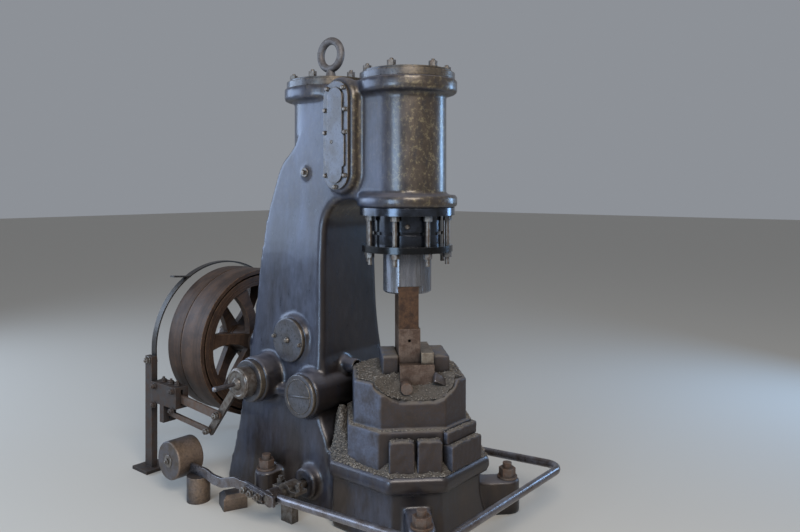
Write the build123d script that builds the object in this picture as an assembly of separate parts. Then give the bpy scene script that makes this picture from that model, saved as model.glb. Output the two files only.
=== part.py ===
from build123d import *
import os
from math import cos, sin, radians, sqrt, atan2, degrees

# Pneumatic forging hammer in one C-shaped casting. The ram works on the axis x = 0, y = 0, the
# compressor cylinder stands behind it, and the belt pulleys are at the rear. Millimetres, +Z up,
# -Y towards the operator, -X the side with the covers and the hand lever. z = 0 is the foundation.

# Clearances
RUN_FIT = 0.05            # radial, a shaft or rod in its bore
SEAT_GAP = 0.3            # between curved or loose faces that meet
MOVE_GAP = 6.0            # between pieces that pass each other

# Working cylinder and ram, on the ram axis
CYL_WALL_R = 156.0        # of both cylinders, and half the width of the flanks between them
CYL_FLANGE_R = 199.0
TOP_FLANGE_T = 55.0
CYL_FOOT_Z = 1220.0
FOOT_FLANGE_T = 50.0
FLANGE_ROUND = 12.0
COVER_R = 190.0
COVER_T = 37.0
COVER_STEP_T = 10.0
COVER_RIM_W = 12.0        # of the lower step round the raised middle
COVER_NUTS = 6
COVER_NUT_PHASE = 17.0
COVER_NUT_CIRCLE_R = 160.0
COVER_NUT_AF = 30.0
COVER_NUT_T = 22.0
PISTON_R = 115.0
PISTON_L = 140.0
ROD_R = 96.0
ROD_FLAT = 87.0           # from the axis to each flat of the rod
RAM_FOOT_Z = 885.0
STROKE = 260.0
RAM_CHAMFER = 6.0
HEAD_SPACE = 12.0         # air left above the piston at the top of the stroke
PISTON_REST_RISE = 121.0  # of the resting piston above the gland

# Gland under the working cylinder
GLAND_TOP_R = 190.0
GLAND_TOP_T = 30.0
GLAND_BODY_R = 142.0
GLAND_BODY_L = 117.0
GLAND_NECK_R = 134.0
GLAND_NECK_L = 12.0
GLAND_NECK_RISE = 42.0    # of the waist above the foot of the body
GLAND_RING_R = 181.0
GLAND_RING_T = 26.0
STUD_R = 9.0
STUD_COUNT = 8
STUD_CIRCLE_R = 164.0
STUD_PHASE = 22.5
STUD_TAIL = 48.0
STUD_NUT_AF = 30.0
STUD_NUT_T = 20.0

# Dies, set across the corner of the frame
DIE_TURN = -45.0
DIE_LEFT = -42.0          # both dies bear on this side of their slots
DIE_L = 168.0
TOP_DIE_W = 78.0
BOTTOM_DIE_W = 85.0
DIE_MEET_Z = 750.0
TOP_SLOT_DEPTH = 30.0
TOP_KEY_W = 12.0
TOP_KEY_SETBACK = 2.0     # inside the round of the rod, to pass into the gland
TONGS_HOLE_R = 6.0
TONGS_HOLE_DROP = 46.0    # below the working face of the bottom die
TONGS_HOLE_L = 30.0
DOVETAIL_LEAN = 5.0
SHOE_TOP_Z = 620.0
SHOE_H = 80.0
SHOE_FRONT = -130.0
SHOE_BACK = 96.0
SLOT_W = 134.0
CHEEK_TOP_Z = 648.0
CHEEK_W = 63.0
CHEEK_L = 192.0
BOTTOM_KEY_H = 42.0
BOTTOM_KEY_PROUD = 16.0
SHOE_BOLT_R = 22.0
SHOE_BOLT_L = 52.0
SHOE_BOLT_RISE = 4.0      # of the bolt's axis above the foot of the shoe

# Anvil
ANVIL_ACROSS = 430.0
ANVIL_CORNER = 93.0
ANVIL_TOP_Z = 503.0
ANVIL_RIM_CHAMFER = 6.0
FOOT_ACROSS = 480.0
FOOT_WELL_GAP = 3.0       # from the foot to the inside of the pan
FOOT_TOP_Z = 405.0
FOOT_FRONT = 245.0        # the foot is cut off square at the working side

# Base pan that carries the anvil
PAN_X = 290.0
PAN_Y = 295.0
PAN_TOP_Z = 262.0
PAN_FLOOR_Z = 200.0
RIM_T = 24.0
RIM_H = 66.0
RIM_ROUND = 22.0
SKIRT_INSET = 13.0

# Column and crank housing: (Y, Z) points up its front and its rear, and (half width, Z) points
COLUMN_FRONT = ((150.0, 0.0), (190.0, 110.0), (210.0, 200.0), (236.0, 300.0), (266.0, 350.0),
                (286.0, 400.0), (292.0, 480.0), (305.0, 700.0), (314.0, 950.0))
COLUMN_REAR = ((430.0, 1560.0), (470.0, 1510.0), (513.0, 1459.0), (574.0, 1400.0), (623.0, 1300.0),
               (662.0, 1200.0), (688.0, 1050.0), (704.0, 950.0), (730.0, 700.0), (752.0, 480.0),
               (775.0, 300.0), (815.0, 110.0), (830.0, 0.0))
COLUMN_HALF = ((248.0, 0.0), (236.0, 110.0), (222.0, 300.0), (208.0, 480.0), (182.0, 700.0),
               (172.0, 950.0), (164.0, 1100.0))
FRONT_ROUND = 24.0        # of the two front corners, up into the arch
REAR_ROUND = 36.0
THROAT_TOP_Z = 1250.0
ARCH_R = 125.0            # under the cylinders, between the throat's top and the column
ARCH_Y = 190.0
COMPRESSOR_Y = 430.0
CHEST_X = 194.0
CHEST_MARGIN = 18.0       # of the valve chest round its cover
CHEST_ROUND = 14.0
PLUG_BOSS_Y = 420.0
PLUG_BOSS_Z = 1362.0
PLUG_BOSS_R = 24.0
PLUG_BOSS_PROUD = 6.0
OIL_PIPE_X = -57.0
OIL_PIPE_Z = 562.0
OIL_PIPE_R = 30.0
OIL_PIPE_BORE_R = 22.0
OIL_PIPE_END_Y = 215.0

# Valve cover
VALVE_COVER_Y = 197.0
VALVE_COVER_W = 133.0
VALVE_COVER_H = 430.0
VALVE_COVER_DROP = 3.0    # of its top below the top of the cylinders
VALVE_COVER_T = 13.0
VALVE_PAD_T = 7.0
VALVE_PAD_MARGIN = 26.0
VALVE_BELLY_MARGIN = 14.0
VALVE_BELLY_H = 130.0
VALVE_BELLY_DROP = 60.0

# Covers, bosses and the hand lever on the -X side
UPPER_COVER_Y = 468.0
UPPER_COVER_Z = 662.0
UPPER_COVER_R = 92.0
UPPER_BOSS_X = 202.0
UPPER_COVER_T = 16.0
LOWER_COVER_Y = 340.0
LOWER_COVER_Z = 462.0
LOWER_COVER_R = 87.0
LOWER_BOSS_X = 258.0
LOWER_COVER_T = 14.0
DRUM_END_X = 198.0        # the drum behind the lower cover runs through to this side
DRUM_WEB_X = 180.0
DRUM_WEB_ANGLE = 128.0
DRUM_WEB_RISE = 172.0
DRUM_WEB_SETBACK = 36.0
COVER_EDGE_ROUND = 5.0
COVER_SEAT_W = 6.0        # of the boss left showing round each cover
LEVER_Y = 600.0
LEVER_Z = 490.0
LEVER_BOSS_R = 96.0
LEVER_BOSS_X = 296.0
LEVER_RING_R = 88.0
LEVER_RING_T = 24.0
LEVER_PIVOT_R = 20.0
LEVER_PIVOT_L = 30.0
LEVER_HUB_R = 64.0
LEVER_HUB_L = 52.0
LEVER_ARM_L = 197.0       # from the hub to the upper link pin
LEVER_ARM_W = 34.0
LEVER_ARM_T = 14.0
LEVER_ARM_LEAN = 38.7     # degrees from straight down, towards the rear
LEVER_ARM_TAIL = 16.0     # beyond the lower pin
HUB_ROUND = 6.0
LINK_PIN_R = 9.0
LINK_PIN_STEP = 99.0
LINK_PIN_HEAD = 4.0       # proud of the bar
LINK_PIN_TAIL = 5.0       # proud of the lever arm
SPINDLE_R = 9.0
SPINDLE_L = 120.0
SPINDLE_ROUND = 4.0
LEDGE_Z = 452.0
LEDGE_H = 34.0
LEDGE_X = 246.0

# Crankshaft and pulleys
SHAFT_Z = 563.0
SHAFT_R = 35.0
SHAFT_START_Y = 560.0
BEARING_R = 104.0
BEARING_END_Y = 858.0
BEARING_RIB_T = 48.0
BEARING_RIB_Z = 120.0
BEARING_RIB_SETBACK = 30.0
BEARING_CAP_T = 18.0
BEARING_CAP_R = 88.0
PULLEY_R = 346.0
PULLEY_CROWN = 3.0
RIM_WALL = 20.0
WEB_R = 270.0
WEB_T = 44.0
WEB_RECESS = 34.0
FACE_RING_SETBACK = 4.0   # of the broad ring on the face, from the edge of the rim
FACE_RING_STEP = 4.0      # down to its inner half
FACE_STEP_R = 293.0
FACE_GROOVE_W = 10.0      # between that ring and the rim
FAST_W = 150.0
FAST_Y = 897.0
LOOSE_W = 96.0
HUB_R = 62.0
ARM_COUNT = 6
ARM_PHASE = 6.0
ARM_ROOT_W = 58.0
ARM_TIP_W = 46.0
ARM_T = 34.0
ARM_SWEEP = 16.0
ARM_ROOT_FLARE = 8.0
ARM_TIP_FLARE = 18.0
ARM_LAP = 10.0            # of each arm into the hub and into the inner ring
COLLAR_R = 54.0
COLLAR_T = 22.0
COLLAR_GAP = 1.0
SHAFT_TAIL = 16.0
SHAFT_CHAMFER = 3.0

# Belt hoop and the stand of the belt shifter
HOOP_R = 384.0
HOOP_T = 7.0
HOOP_W = 34.0
HOOP_Y = 1205.0
HOOP_Z = 545.0
HOOP_DROP = 8.2           # degrees below the hoop's centre at each end
HOOP_TAB_ANGLE = 121.0
HOOP_TAB_L = 92.0
HOOP_TAB_W = 34.0
HOOP_TAB_HOLE_R = 8.0
HOOP_TAB_TILT = 5.0
STAND_W = 52.0
STAND_T = 30.0
STAND_RISE = 30.0         # above the end of the hoop
STAND_FOOT = 120.0
STAND_FOOT_T = 14.0
GUIDE_L = 194.0
GUIDE_T = 66.0
GUIDE_WALL = 12.0
HANGER_FRONT = 1080.0     # loop under the guide for the lower bar
HANGER_REAR = 1110.0
LINK_END_Y = (1090.0, 1120.0)
LINK_RISE = (27.0, 21.0)  # of each link bar from its pin to its end
LINK_BAR_H = (36.0, 22.0)
LINK_SWAY = 17.0          # room above and below a bar in its guide
LINK_BAR_T = 12.0

# Treadle
PIVOT_Y = 310.0
PIVOT_Z = 121.0
PIVOT_R = 16.0
PIVOT_BOSS_R = 60.0
PIVOT_BOSS_X = 272.0
PIVOT_SEAT_L = 60.0       # how far each shaft enters its boss
TREADLE_X = 430.0
TREADLE_FRONT = -460.0
TREADLE_FRONT_Z = 172.0
TREADLE_R = 16.0
TREADLE_BEND_R = 70.0
TREADLE_HUB_R = 32.0
TREADLE_HUB_L = 46.0
CHAIR_X = 345.0
CHAIR_L = 58.0
CHAIR_W = 132.0
CHAIR_PLATE_T = 14.0
CHAIR_LEG_L = 34.0        # along the shaft
CHAIR_LEG_W = 62.0
CHAIR_CAP_R = 34.0
CHAIR_SHOULDER = 12.0     # of the plate's top above the axis
CHAIR_BOLT_R = 9.0
CHAIR_BOLT_INSET = 14.0
CHAIR_BOLT_PROUD = 12.0
CHAIR_NUT_AF = 28.0
CHAIR_NUT_T = 18.0
LEVER_BAR_T = 12.0
LEVER_BAR_H = 38.0
LEVER_BEND_R = 60.0
LEVER_CREST = 16.0        # of the lever bar above its pivot
LEVER_CREST_START = 120.0 # both measured from the pivot to the rear
LEVER_CREST_END = 195.0
LEVER_DIP = 9.0           # of the low bend below the pivot
LEVER_DIP_START = 275.0   # both measured from the pivot to the rear
LEVER_DIP_END = 335.0
LEVER_REST_START = 380.0  # where it comes level over its stop
LEVER_NOSE = 42.0         # in front of the pivot
FISH_PLATE_L = 110.0      # bolted to the outer side of the lever behind its pivot
FISH_PLATE_H = 30.0
FISH_PLATE_T = 8.0
WEIGHT_Y = 872.0
WEIGHT_Z = 148.0
WEIGHT_R = 80.0
WEIGHT_L = 122.0
WEIGHT_ROUND = 7.0
WEIGHT_SLOT = 24.0        # depth of the slot that takes the lever bar
STOP_R = 48.0
STOP_Y = 745.0
STOP_H = 104.0
SPARE_BLOCK_X = -402.0    # chamfered iron block left lying beside the lever
SPARE_BLOCK_Y = 588.0
SPARE_BLOCK_L = 96.0
SPARE_BLOCK_W = 84.0
SPARE_BLOCK_H = 60.0
SPARE_BLOCK_CHAMFER = 14.0
SPARE_BLOCK_TURN = -24.0

# Foundation bolts
BOLT_X = 280.0
BOLT_FRONT_Y = -292.0
BOLT_REAR_Y = 526.0
BOLT_R = 18.0
LUG_R = 48.0
LUG_H = 132.0
LUG_WEB_L = 110.0         # of the web from each boss into the casting
WASHER_R = 40.0
WASHER_T = 8.0
NUT_AF = 58.0
NUT_T = 32.0
BOLT_PROUD = 20.0

# Turned corners of the nuts, as shares of their size
NUT_CONE_FOOT = 0.78      # radius at the foot, of the width across flats
NUT_CONE_RISE = 1.6       # height, of the nut's thickness

# Lifting eye
EYE_RING_R = 61.0
EYE_BAR_R = 16.5
EYE_RISE = 117.0          # of its centre above the cover
EYE_FOOT_R = 28.0
EYE_NECK_R = 16.0
EYE_COLLAR_R = 34.0
EYE_COLLAR_T = 12.0

# Wedge blocks between the anvil foot and the pan
WEDGE_W = 92.0
WEDGE_L = 43.0
WEDGE_GAP = 9.0
WEDGE_TOP_Z = 381.0
WEDGE_OFF_CENTRE = 3.0
WEDGE_ROUND = 8.0
WEDGE_PLAY = 2.0          # to the rim of the pan
BAR_L = 190.0
LOWER_BAR_SETBACK = 3.0   # from the edge of the rim
LOWER_BAR_TOP_Z = 355.0
UPPER_BAR_TOP_Z = 400.0
UPPER_BAR_T = 24.0


def block(x0, x1, y0, y1, z0, z1):
    """Box between two corners."""
    return Pos((x0 + x1) / 2, (y0 + y1) / 2, (z0 + z1) / 2) * Box(x1 - x0, y1 - y0, z1 - z0)


def post(x, y, z0, z1, r):
    """Upright cylinder."""
    return Pos(x, y, (z0 + z1) / 2) * Cylinder(r, z1 - z0)


def bar_x(y, z, x0, x1, r):
    """Cylinder along X."""
    return Pos((x0 + x1) / 2, y, z) * Rot(0, 90, 0) * Cylinder(r, abs(x1 - x0))


def bar_y(x, z, y0, y1, r):
    """Cylinder along Y."""
    return Pos(x, (y0 + y1) / 2, z) * Rot(90, 0, 0) * Cylinder(r, abs(y1 - y0))


def hexagon(across_flats, thickness):
    """Hexagonal prism standing on z = 0."""
    return extrude(RegularPolygon(across_flats / sqrt(3), 6), thickness)


def nut(x, y, z, across_flats, thickness):
    """Hexagon nut with its upper corners turned down."""
    cone = Cone(NUT_CONE_FOOT * across_flats, across_flats / 2, NUT_CONE_RISE * thickness,
                align=(Align.CENTER, Align.CENTER, Align.MIN))
    return Pos(x, y, z) * (hexagon(across_flats, thickness) & cone)


def octagon(across, corner):
    """Square across the die axes with its corners cut off."""
    square = Rectangle(across, across)
    return chamfer(square.vertices(), corner)


def die_frame(shape):
    """Turns a shape drawn square to the dies into the frame of the machine."""
    return Rot(0, 0, DIE_TURN) * shape


def dovetail(left, right, z0, z1, lean, length):
    """Prism along the die axis whose sides lean outwards by lean from z0 to z1."""
    outline = Polyline((left, z0), (right, z0), (right + lean, z1), (left - lean, z1), close=True)
    face = make_face(Plane.XZ * outline)
    return extrude(face, length / 2, both=True)


def turned(points):
    """Body of revolution about Z from (radius, height) points."""
    return revolve(make_face(Plane.XZ * Polyline(*points, close=True)), Axis.Z)


def save(name, *solids):
    """One file per piece; like pieces that don't touch share a file."""
    shape = solids[0] if len(solids) == 1 else Compound(children=list(solids))
    export_step(shape, f"parts/{name}.step")


def around(count, phase=0.0):
    """Angles in degrees of a round pattern."""
    return [phase + 360.0 / count * i for i in range(count)]


def polar(radius, angle):
    return radius * cos(radians(angle)), radius * sin(radians(angle))


# Derived heights and places
gland_top_z = CYL_FOOT_Z - GLAND_TOP_T
gland_ring_top_z = gland_top_z - GLAND_BODY_L
gland_foot_z = gland_ring_top_z - GLAND_RING_T
bore_r = PISTON_R + RUN_FIT
piston_top_z = gland_top_z + PISTON_REST_RISE + PISTON_L
cyl_top_z = piston_top_z + STROKE + HEAD_SPACE
cover_top_z = cyl_top_z + COVER_T
eye_z = cover_top_z + EYE_RISE
valve_cover_z = cyl_top_z - VALVE_COVER_DROP - VALVE_COVER_H / 2
well_half = PAN_X - RIM_T
well_diagonal = FOOT_ACROSS / 2 + WEDGE_L + WEDGE_PLAY
pan_cut = PAN_X + PAN_Y - sqrt(2) * (well_diagonal + RIM_T)
foot_corner = FOOT_ACROSS - sqrt(2) * (well_half - FOOT_WELL_GAP)
lever_ring_x = -LEVER_BOSS_X - LEVER_RING_T
lever_hub_x = lever_ring_x - SEAT_GAP
lever_arm_x = lever_hub_x - LEVER_HUB_L
loose_y = FAST_Y + FAST_W + MOVE_GAP
loose_end_y = loose_y + LOOSE_W
collar_y = loose_end_y + COLLAR_GAP
shaft_end_y = collar_y + COLLAR_T + SHAFT_TAIL
link_bar_x = lever_arm_x - SEAT_GAP - LINK_BAR_T
hoop_end_z = HOOP_Z - HOOP_R * sin(radians(HOOP_DROP))
lever_bar_x = -TREADLE_X - TREADLE_HUB_L / 2 - LEVER_BAR_T
lever_end_z = STOP_H + SEAT_GAP + LEVER_BAR_H / 2
lever_crest_z = PIVOT_Z + LEVER_CREST
lever_dip_z = PIVOT_Z - LEVER_DIP
stand_x = HOOP_R * cos(radians(HOOP_DROP)) + STAND_T / 2


def frame_casting():
    """One iron casting: column, both cylinders, valve chest, crank housing and base pan."""
    body = column()
    body += cylinders()
    body += valve_chest()
    body += base_pan()
    body += side_bosses()
    body += bearing_housing()
    for x, y in bolt_places():
        body += lug(x, y)
    body -= post(0, 0, CYL_FOOT_Z - 1, cyl_top_z + 1, bore_r)
    body -= bar_y(0, SHAFT_Z, SHAFT_START_Y - MOVE_GAP, BEARING_END_Y + 1, SHAFT_R + RUN_FIT)
    body -= bar_y(OIL_PIPE_X, OIL_PIPE_Z, OIL_PIPE_END_Y - 1, LOWER_COVER_Y, OIL_PIPE_BORE_R)
    body -= anvil_well()
    for side in (-1, 1):
        inner = side * (PIVOT_BOSS_X - PIVOT_SEAT_L)
        body -= bar_x(PIVOT_Y, PIVOT_Z, inner, side * (PIVOT_BOSS_X + 1), PIVOT_R + RUN_FIT)
    for x, y in bolt_places():
        body -= post(x, y, -1, LUG_H + 1, BOLT_R + SEAT_GAP)
    return body


def column():
    """Side view and front view of the column, each drawn through, and what both have in common."""
    arch_foot = (ARCH_Y + ARCH_R, THROAT_TOP_Z - ARCH_R)
    arch = RadiusArc((ARCH_Y, THROAT_TOP_Z), arch_foot, ARCH_R)
    front = Spline(arch_foot, *reversed(COLUMN_FRONT), tangents=[(0, -1), (-1, -2)])
    rear = Spline(*COLUMN_REAR, tangents=[(1, -1), (0, -1)])
    inside = Polyline(rear @ 0, (CYL_WALL_R / 2, COLUMN_REAR[0][1]), (CYL_WALL_R / 2, THROAT_TOP_Z), arch @ 0)
    side_view = make_face([arch, front, Line(front @ 1, rear @ 1), rear, inside])
    flank = Spline(*COLUMN_HALF, (CYL_WALL_R, THROAT_TOP_Z), tangents=[(-1, 9), (0, 1)])
    far_flank = mirror(flank, Plane.YZ)
    top = COLUMN_REAR[0][1]
    over = Polyline(flank @ 1, (CYL_WALL_R, top), (-CYL_WALL_R, top), far_flank @ 1)
    front_view = make_face([flank, over, far_flank, Line(far_flank @ 0, flank @ 0)])
    body = extrude(Plane.YZ * side_view, COLUMN_HALF[0][0] + 1, both=True)
    body &= extrude(Plane.XZ * front_view, -COLUMN_REAR[-1][0] - 1)
    corners = body.edges().filter_by(lambda edge: abs((edge @ 0.5).X) > CYL_WALL_R - 1 and (edge @ 0.5).Z > 1)
    rear_corners = corners.filter_by(lambda edge: (edge @ 0.5).Y > COMPRESSOR_Y)
    body = fillet(rear_corners, REAR_ROUND)
    low = corners.filter_by(lambda edge: (edge @ 0.5).Z < THROAT_TOP_Z + 1)
    return fillet(low.filter_by(lambda edge: (edge @ 0.5).Y < ARCH_Y + ARCH_R), FRONT_ROUND)


def flange(y, z0, z1):
    rim = post(0, y, z0, z1, CYL_FLANGE_R)
    return fillet(rim.edges().filter_by(GeomType.CIRCLE).sort_by(Axis.Z)[0], FLANGE_ROUND)


def cylinders():
    """Working cylinder and compressor cylinder with the flat flanks between them."""
    walls = Pos(0, COMPRESSOR_Y / 2) * SlotCenterToCenter(COMPRESSOR_Y, 2 * CYL_WALL_R, rotation=90)
    wall_foot_z = THROAT_TOP_Z + FRONT_ROUND
    body = Pos(0, 0, wall_foot_z) * extrude(walls, cyl_top_z - wall_foot_z)
    foot = post(0, 0, CYL_FOOT_Z, CYL_FOOT_Z + FOOT_FLANGE_T, CYL_FLANGE_R)
    body += fillet(foot.edges().filter_by(GeomType.CIRCLE), FLANGE_ROUND)
    for y in (0, COMPRESSOR_Y):
        body += flange(y, cyl_top_z - TOP_FLANGE_T, cyl_top_z)
    return body


def valve_chest():
    """Raised seat of the valve cover, with rounded ends."""
    height = VALVE_COVER_H + 2 * CHEST_MARGIN
    width = VALVE_COVER_W + 2 * CHEST_MARGIN
    inner = -CYL_WALL_R + CHEST_MARGIN
    outline = Plane.YZ * SlotOverall(height, width, rotation=90)
    chest = Pos(inner, VALVE_COVER_Y, valve_cover_z) * extrude(outline, -(CHEST_X + inner))
    return fillet(chest.edges().group_by(Axis.X)[0], CHEST_ROUND)


def pan_outline(inset):
    x = PAN_X - inset
    y = PAN_Y - inset
    cut = pan_cut - inset * (2 - sqrt(2))
    return make_face(Polyline((x, y - cut), (x - cut, y), (cut - x, y), (-x, y - cut),
                              (-x, cut - y), (cut - x, -y), (x - cut, -y), (x, cut - y), close=True))


def base_pan():
    skirt = extrude(pan_outline(SKIRT_INSET), PAN_TOP_Z - RIM_H / 2)
    rim = Pos(0, 0, PAN_TOP_Z - RIM_H) * extrude(pan_outline(0), RIM_H)
    outer = rim.edges().group_by(Axis.Z)
    rim = fillet(outer[0] + outer[-1], RIM_ROUND)
    return skirt + rim


def anvil_well():
    return Pos(0, 0, PAN_FLOOR_Z) * extrude(pan_outline(RIM_T), FOOT_TOP_Z - PAN_FLOOR_Z)


def side_bosses():
    """Seats of the covers, the hand lever, the treadle shaft, the oil plug and the oil pipe."""
    inner = -CYL_WALL_R / 2
    upper = bar_x(UPPER_COVER_Y, UPPER_COVER_Z, -UPPER_BOSS_X, inner, UPPER_COVER_R + COVER_SEAT_W)
    lower = bar_x(LOWER_COVER_Y, LOWER_COVER_Z, -LOWER_BOSS_X, DRUM_END_X, LOWER_COVER_R + COVER_SEAT_W)
    lever = bar_x(LEVER_Y, LEVER_Z, -LEVER_BOSS_X, inner, LEVER_BOSS_R)
    ledge = block(-LEDGE_X, inner, LOWER_COVER_Y, LEVER_Y, LEDGE_Z - LEDGE_H / 2, LEDGE_Z + LEDGE_H / 2)
    plug = bar_x(PLUG_BOSS_Y, PLUG_BOSS_Z, -CYL_WALL_R - PLUG_BOSS_PROUD, inner, PLUG_BOSS_R)
    pivots = bar_x(PIVOT_Y, PIVOT_Z, -PIVOT_BOSS_X, PIVOT_BOSS_X, PIVOT_BOSS_R)
    pipe = bar_y(OIL_PIPE_X, OIL_PIPE_Z, OIL_PIPE_END_Y, LOWER_COVER_Y, OIL_PIPE_R)
    return upper + lower + drum_web() + lever + ledge + plug + pivots + pipe


def drum_web():
    """Slope from the front of the column down on to the drum behind the lower cover."""
    radius = LOWER_COVER_R + COVER_SEAT_W
    dy, dz = polar(radius, DRUM_WEB_ANGLE)
    low = (LOWER_COVER_Y + dy, LOWER_COVER_Z + dz)
    high = (LOWER_COVER_Y - DRUM_WEB_SETBACK, LOWER_COVER_Z + DRUM_WEB_RISE)
    outline = make_face(Polyline(low, high, (LOWER_COVER_Y, high[1]), (LOWER_COVER_Y, low[1]), close=True))
    return Pos(-DRUM_WEB_X, 0, 0) * extrude(Plane.YZ * outline, 2 * DRUM_WEB_X)


def bearing_housing():
    boss = bar_y(0, SHAFT_Z, COMPRESSOR_Y, BEARING_END_Y, BEARING_R)
    rib = block(-BEARING_RIB_T / 2, BEARING_RIB_T / 2, SHAFT_START_Y, BEARING_END_Y - BEARING_RIB_SETBACK,
                BEARING_RIB_Z, SHAFT_Z)
    return boss + rib


def bolt_places():
    return [(x, y) for y in (BOLT_FRONT_Y, BOLT_REAR_Y) for x in (-BOLT_X, BOLT_X)]


def lug(x, y):
    """Foundation lug: a round boss with a web back to the casting."""
    side = 1 if x > 0 else -1
    boss = post(x, y, 0, LUG_H, LUG_R)
    if y < 0:
        web = Pos(0, LUG_WEB_L / 2, LUG_H / 2) * Box(2 * LUG_R, LUG_WEB_L, LUG_H)
        return boss + Pos(x, y, 0) * Rot(0, 0, 45 * side) * web
    inner = x - side * LUG_WEB_L
    return boss + block(min(x, inner), max(x, inner), y - LUG_R, y + LUG_R, 0, LUG_H)


def cylinder_cover(y):
    """Turned cover with a stepped rim."""
    disc = post(0, y, cyl_top_z, cover_top_z - COVER_STEP_T, COVER_R)
    return disc + post(0, y, cyl_top_z, cover_top_z, COVER_R - COVER_RIM_W)


def cover_nuts(y):
    nuts = []
    for angle in around(COVER_NUTS, COVER_NUT_PHASE):
        dx, dy = polar(COVER_NUT_CIRCLE_R, angle)
        nuts.append(nut(dx, y + dy, cover_top_z, COVER_NUT_AF, COVER_NUT_T))
    return nuts


def lifting_eye():
    ring = Pos(0, COMPRESSOR_Y, eye_z) * Rot(0, 90, 0) * Torus(EYE_RING_R, EYE_BAR_R)
    neck = Pos(0, COMPRESSOR_Y, cover_top_z) * Cone(EYE_FOOT_R, EYE_NECK_R, EYE_RISE - EYE_RING_R,
                                                    align=(Align.CENTER, Align.CENTER, Align.MIN))
    collar = post(0, COMPRESSOR_Y, cover_top_z, cover_top_z + EYE_COLLAR_T, EYE_COLLAR_R)
    return ring + neck + collar


def rod_section(clearance):
    """Round rod with two flats that keep the dies square; also the shape of the gland's bore."""
    disc = Circle(ROD_R + clearance)
    return disc & Rectangle(3 * ROD_R, 2 * (ROD_FLAT + clearance))


def gland_ring(z0, z1, radius):
    ring = post(0, 0, z0, z1, radius)
    hole = Pos(0, 0, z0 - 1) * extrude(die_frame(rod_section(RUN_FIT)), z1 - z0 + 2)
    return ring - hole


def gland_body():
    """Sleeve with a waist between its two collars."""
    sleeve = gland_ring(gland_ring_top_z, gland_top_z, GLAND_BODY_R)
    foot = gland_ring_top_z + GLAND_NECK_RISE
    groove = turned([(GLAND_NECK_R, foot), (GLAND_BODY_R + 1, foot), (GLAND_BODY_R + 1, foot + GLAND_NECK_L),
                     (GLAND_NECK_R, foot + GLAND_NECK_L)])
    return sleeve - groove


def gland_lower_ring():
    ring = gland_ring(gland_foot_z, gland_ring_top_z, GLAND_RING_R)
    for x, y in stud_places():
        ring -= post(x, y, gland_foot_z - 1, gland_ring_top_z + 1, STUD_R + SEAT_GAP)
    return ring


def gland_studs():
    """Long studs from the cylinder's foot down through the lower ring."""
    return [post(x, y, gland_foot_z - STUD_TAIL, gland_top_z, STUD_R) for x, y in stud_places()]


def gland_nuts():
    """A nut under the top ring and one under the lower ring on each stud."""
    nuts = []
    for x, y in stud_places():
        hole = post(x, y, gland_foot_z - STUD_TAIL, gland_top_z, STUD_R + RUN_FIT)
        for seat_z in (gland_top_z, gland_foot_z):
            nuts.append(nut(x, y, seat_z - STUD_NUT_T, STUD_NUT_AF, STUD_NUT_T) - hole)
    return nuts


def stud_places():
    return [polar(STUD_CIRCLE_R, angle) for angle in around(STUD_COUNT, STUD_PHASE)]


def ram():
    """Piston, rod with two flats, and the dovetail slot for the top die."""
    rod = Pos(0, 0, RAM_FOOT_Z) * extrude(rod_section(0), piston_top_z - PISTON_L - RAM_FOOT_Z)
    rod = chamfer(rod.edges().group_by(Axis.Z)[0], RAM_CHAMFER)
    right = DIE_LEFT + TOP_DIE_W + TOP_KEY_W
    slot_top = RAM_FOOT_Z + TOP_SLOT_DEPTH
    rod -= dovetail(DIE_LEFT, right, RAM_FOOT_Z - 1, slot_top, DOVETAIL_LEAN, 3 * ROD_R)
    piston = post(0, 0, piston_top_z - PISTON_L, piston_top_z, PISTON_R)
    return die_frame(rod + piston)


def top_die():
    right = DIE_LEFT + TOP_DIE_W
    body = block(DIE_LEFT, right, -DIE_L / 2, DIE_L / 2, DIE_MEET_Z, RAM_FOOT_Z)
    top = RAM_FOOT_Z + TOP_SLOT_DEPTH - SEAT_GAP
    outline = Polyline((DIE_LEFT, RAM_FOOT_Z), (right, RAM_FOOT_Z), (right, top),
                       (DIE_LEFT - DOVETAIL_LEAN + SEAT_GAP, top), close=True)
    shank = extrude(make_face(Plane.XZ * outline), DIE_L / 2, both=True)
    return die_frame(body + shank)


def top_die_key():
    left = DIE_LEFT + TOP_DIE_W + SEAT_GAP
    right = DIE_LEFT + TOP_DIE_W + TOP_KEY_W - SEAT_GAP
    top = RAM_FOOT_Z + TOP_SLOT_DEPTH - SEAT_GAP
    wide = right + DOVETAIL_LEAN
    outline = Polyline((left, RAM_FOOT_Z), (right, RAM_FOOT_Z), (wide, top), (left, top), close=True)
    half = sqrt(ROD_R ** 2 - wide ** 2) - TOP_KEY_SETBACK
    key = extrude(make_face(Plane.XZ * outline), half, both=True)
    return die_frame(key)


def anvil():
    """Octagonal block with the neck and the two cheeks that hold the die shoe."""
    foot = Pos(0, 0, PAN_FLOOR_Z) * extrude(octagon(FOOT_ACROSS, foot_corner), FOOT_TOP_Z - PAN_FLOOR_Z)
    body = Pos(0, 0, FOOT_TOP_Z) * extrude(octagon(ANVIL_ACROSS, ANVIL_CORNER), ANVIL_TOP_Z - FOOT_TOP_Z)
    body = chamfer(body.edges().group_by(Axis.Z)[-1], ANVIL_RIM_CHAMFER)
    slot_right = DIE_LEFT + SLOT_W
    left = DIE_LEFT - CHEEK_W
    neck = block(left, slot_right + CHEEK_W, -CHEEK_L / 2, CHEEK_L / 2, ANVIL_TOP_Z, CHEEK_TOP_Z)
    slot = block(DIE_LEFT, slot_right, -CHEEK_L, CHEEK_L, SHOE_TOP_Z - SHOE_H, CHEEK_TOP_Z + 1)
    block_and_neck = die_frame(foot + body + (neck - slot))
    far = FOOT_ACROSS
    return block_and_neck - block(-far, far, -far, -FOOT_FRONT, PAN_FLOOR_Z - 1, FOOT_TOP_Z)


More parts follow.
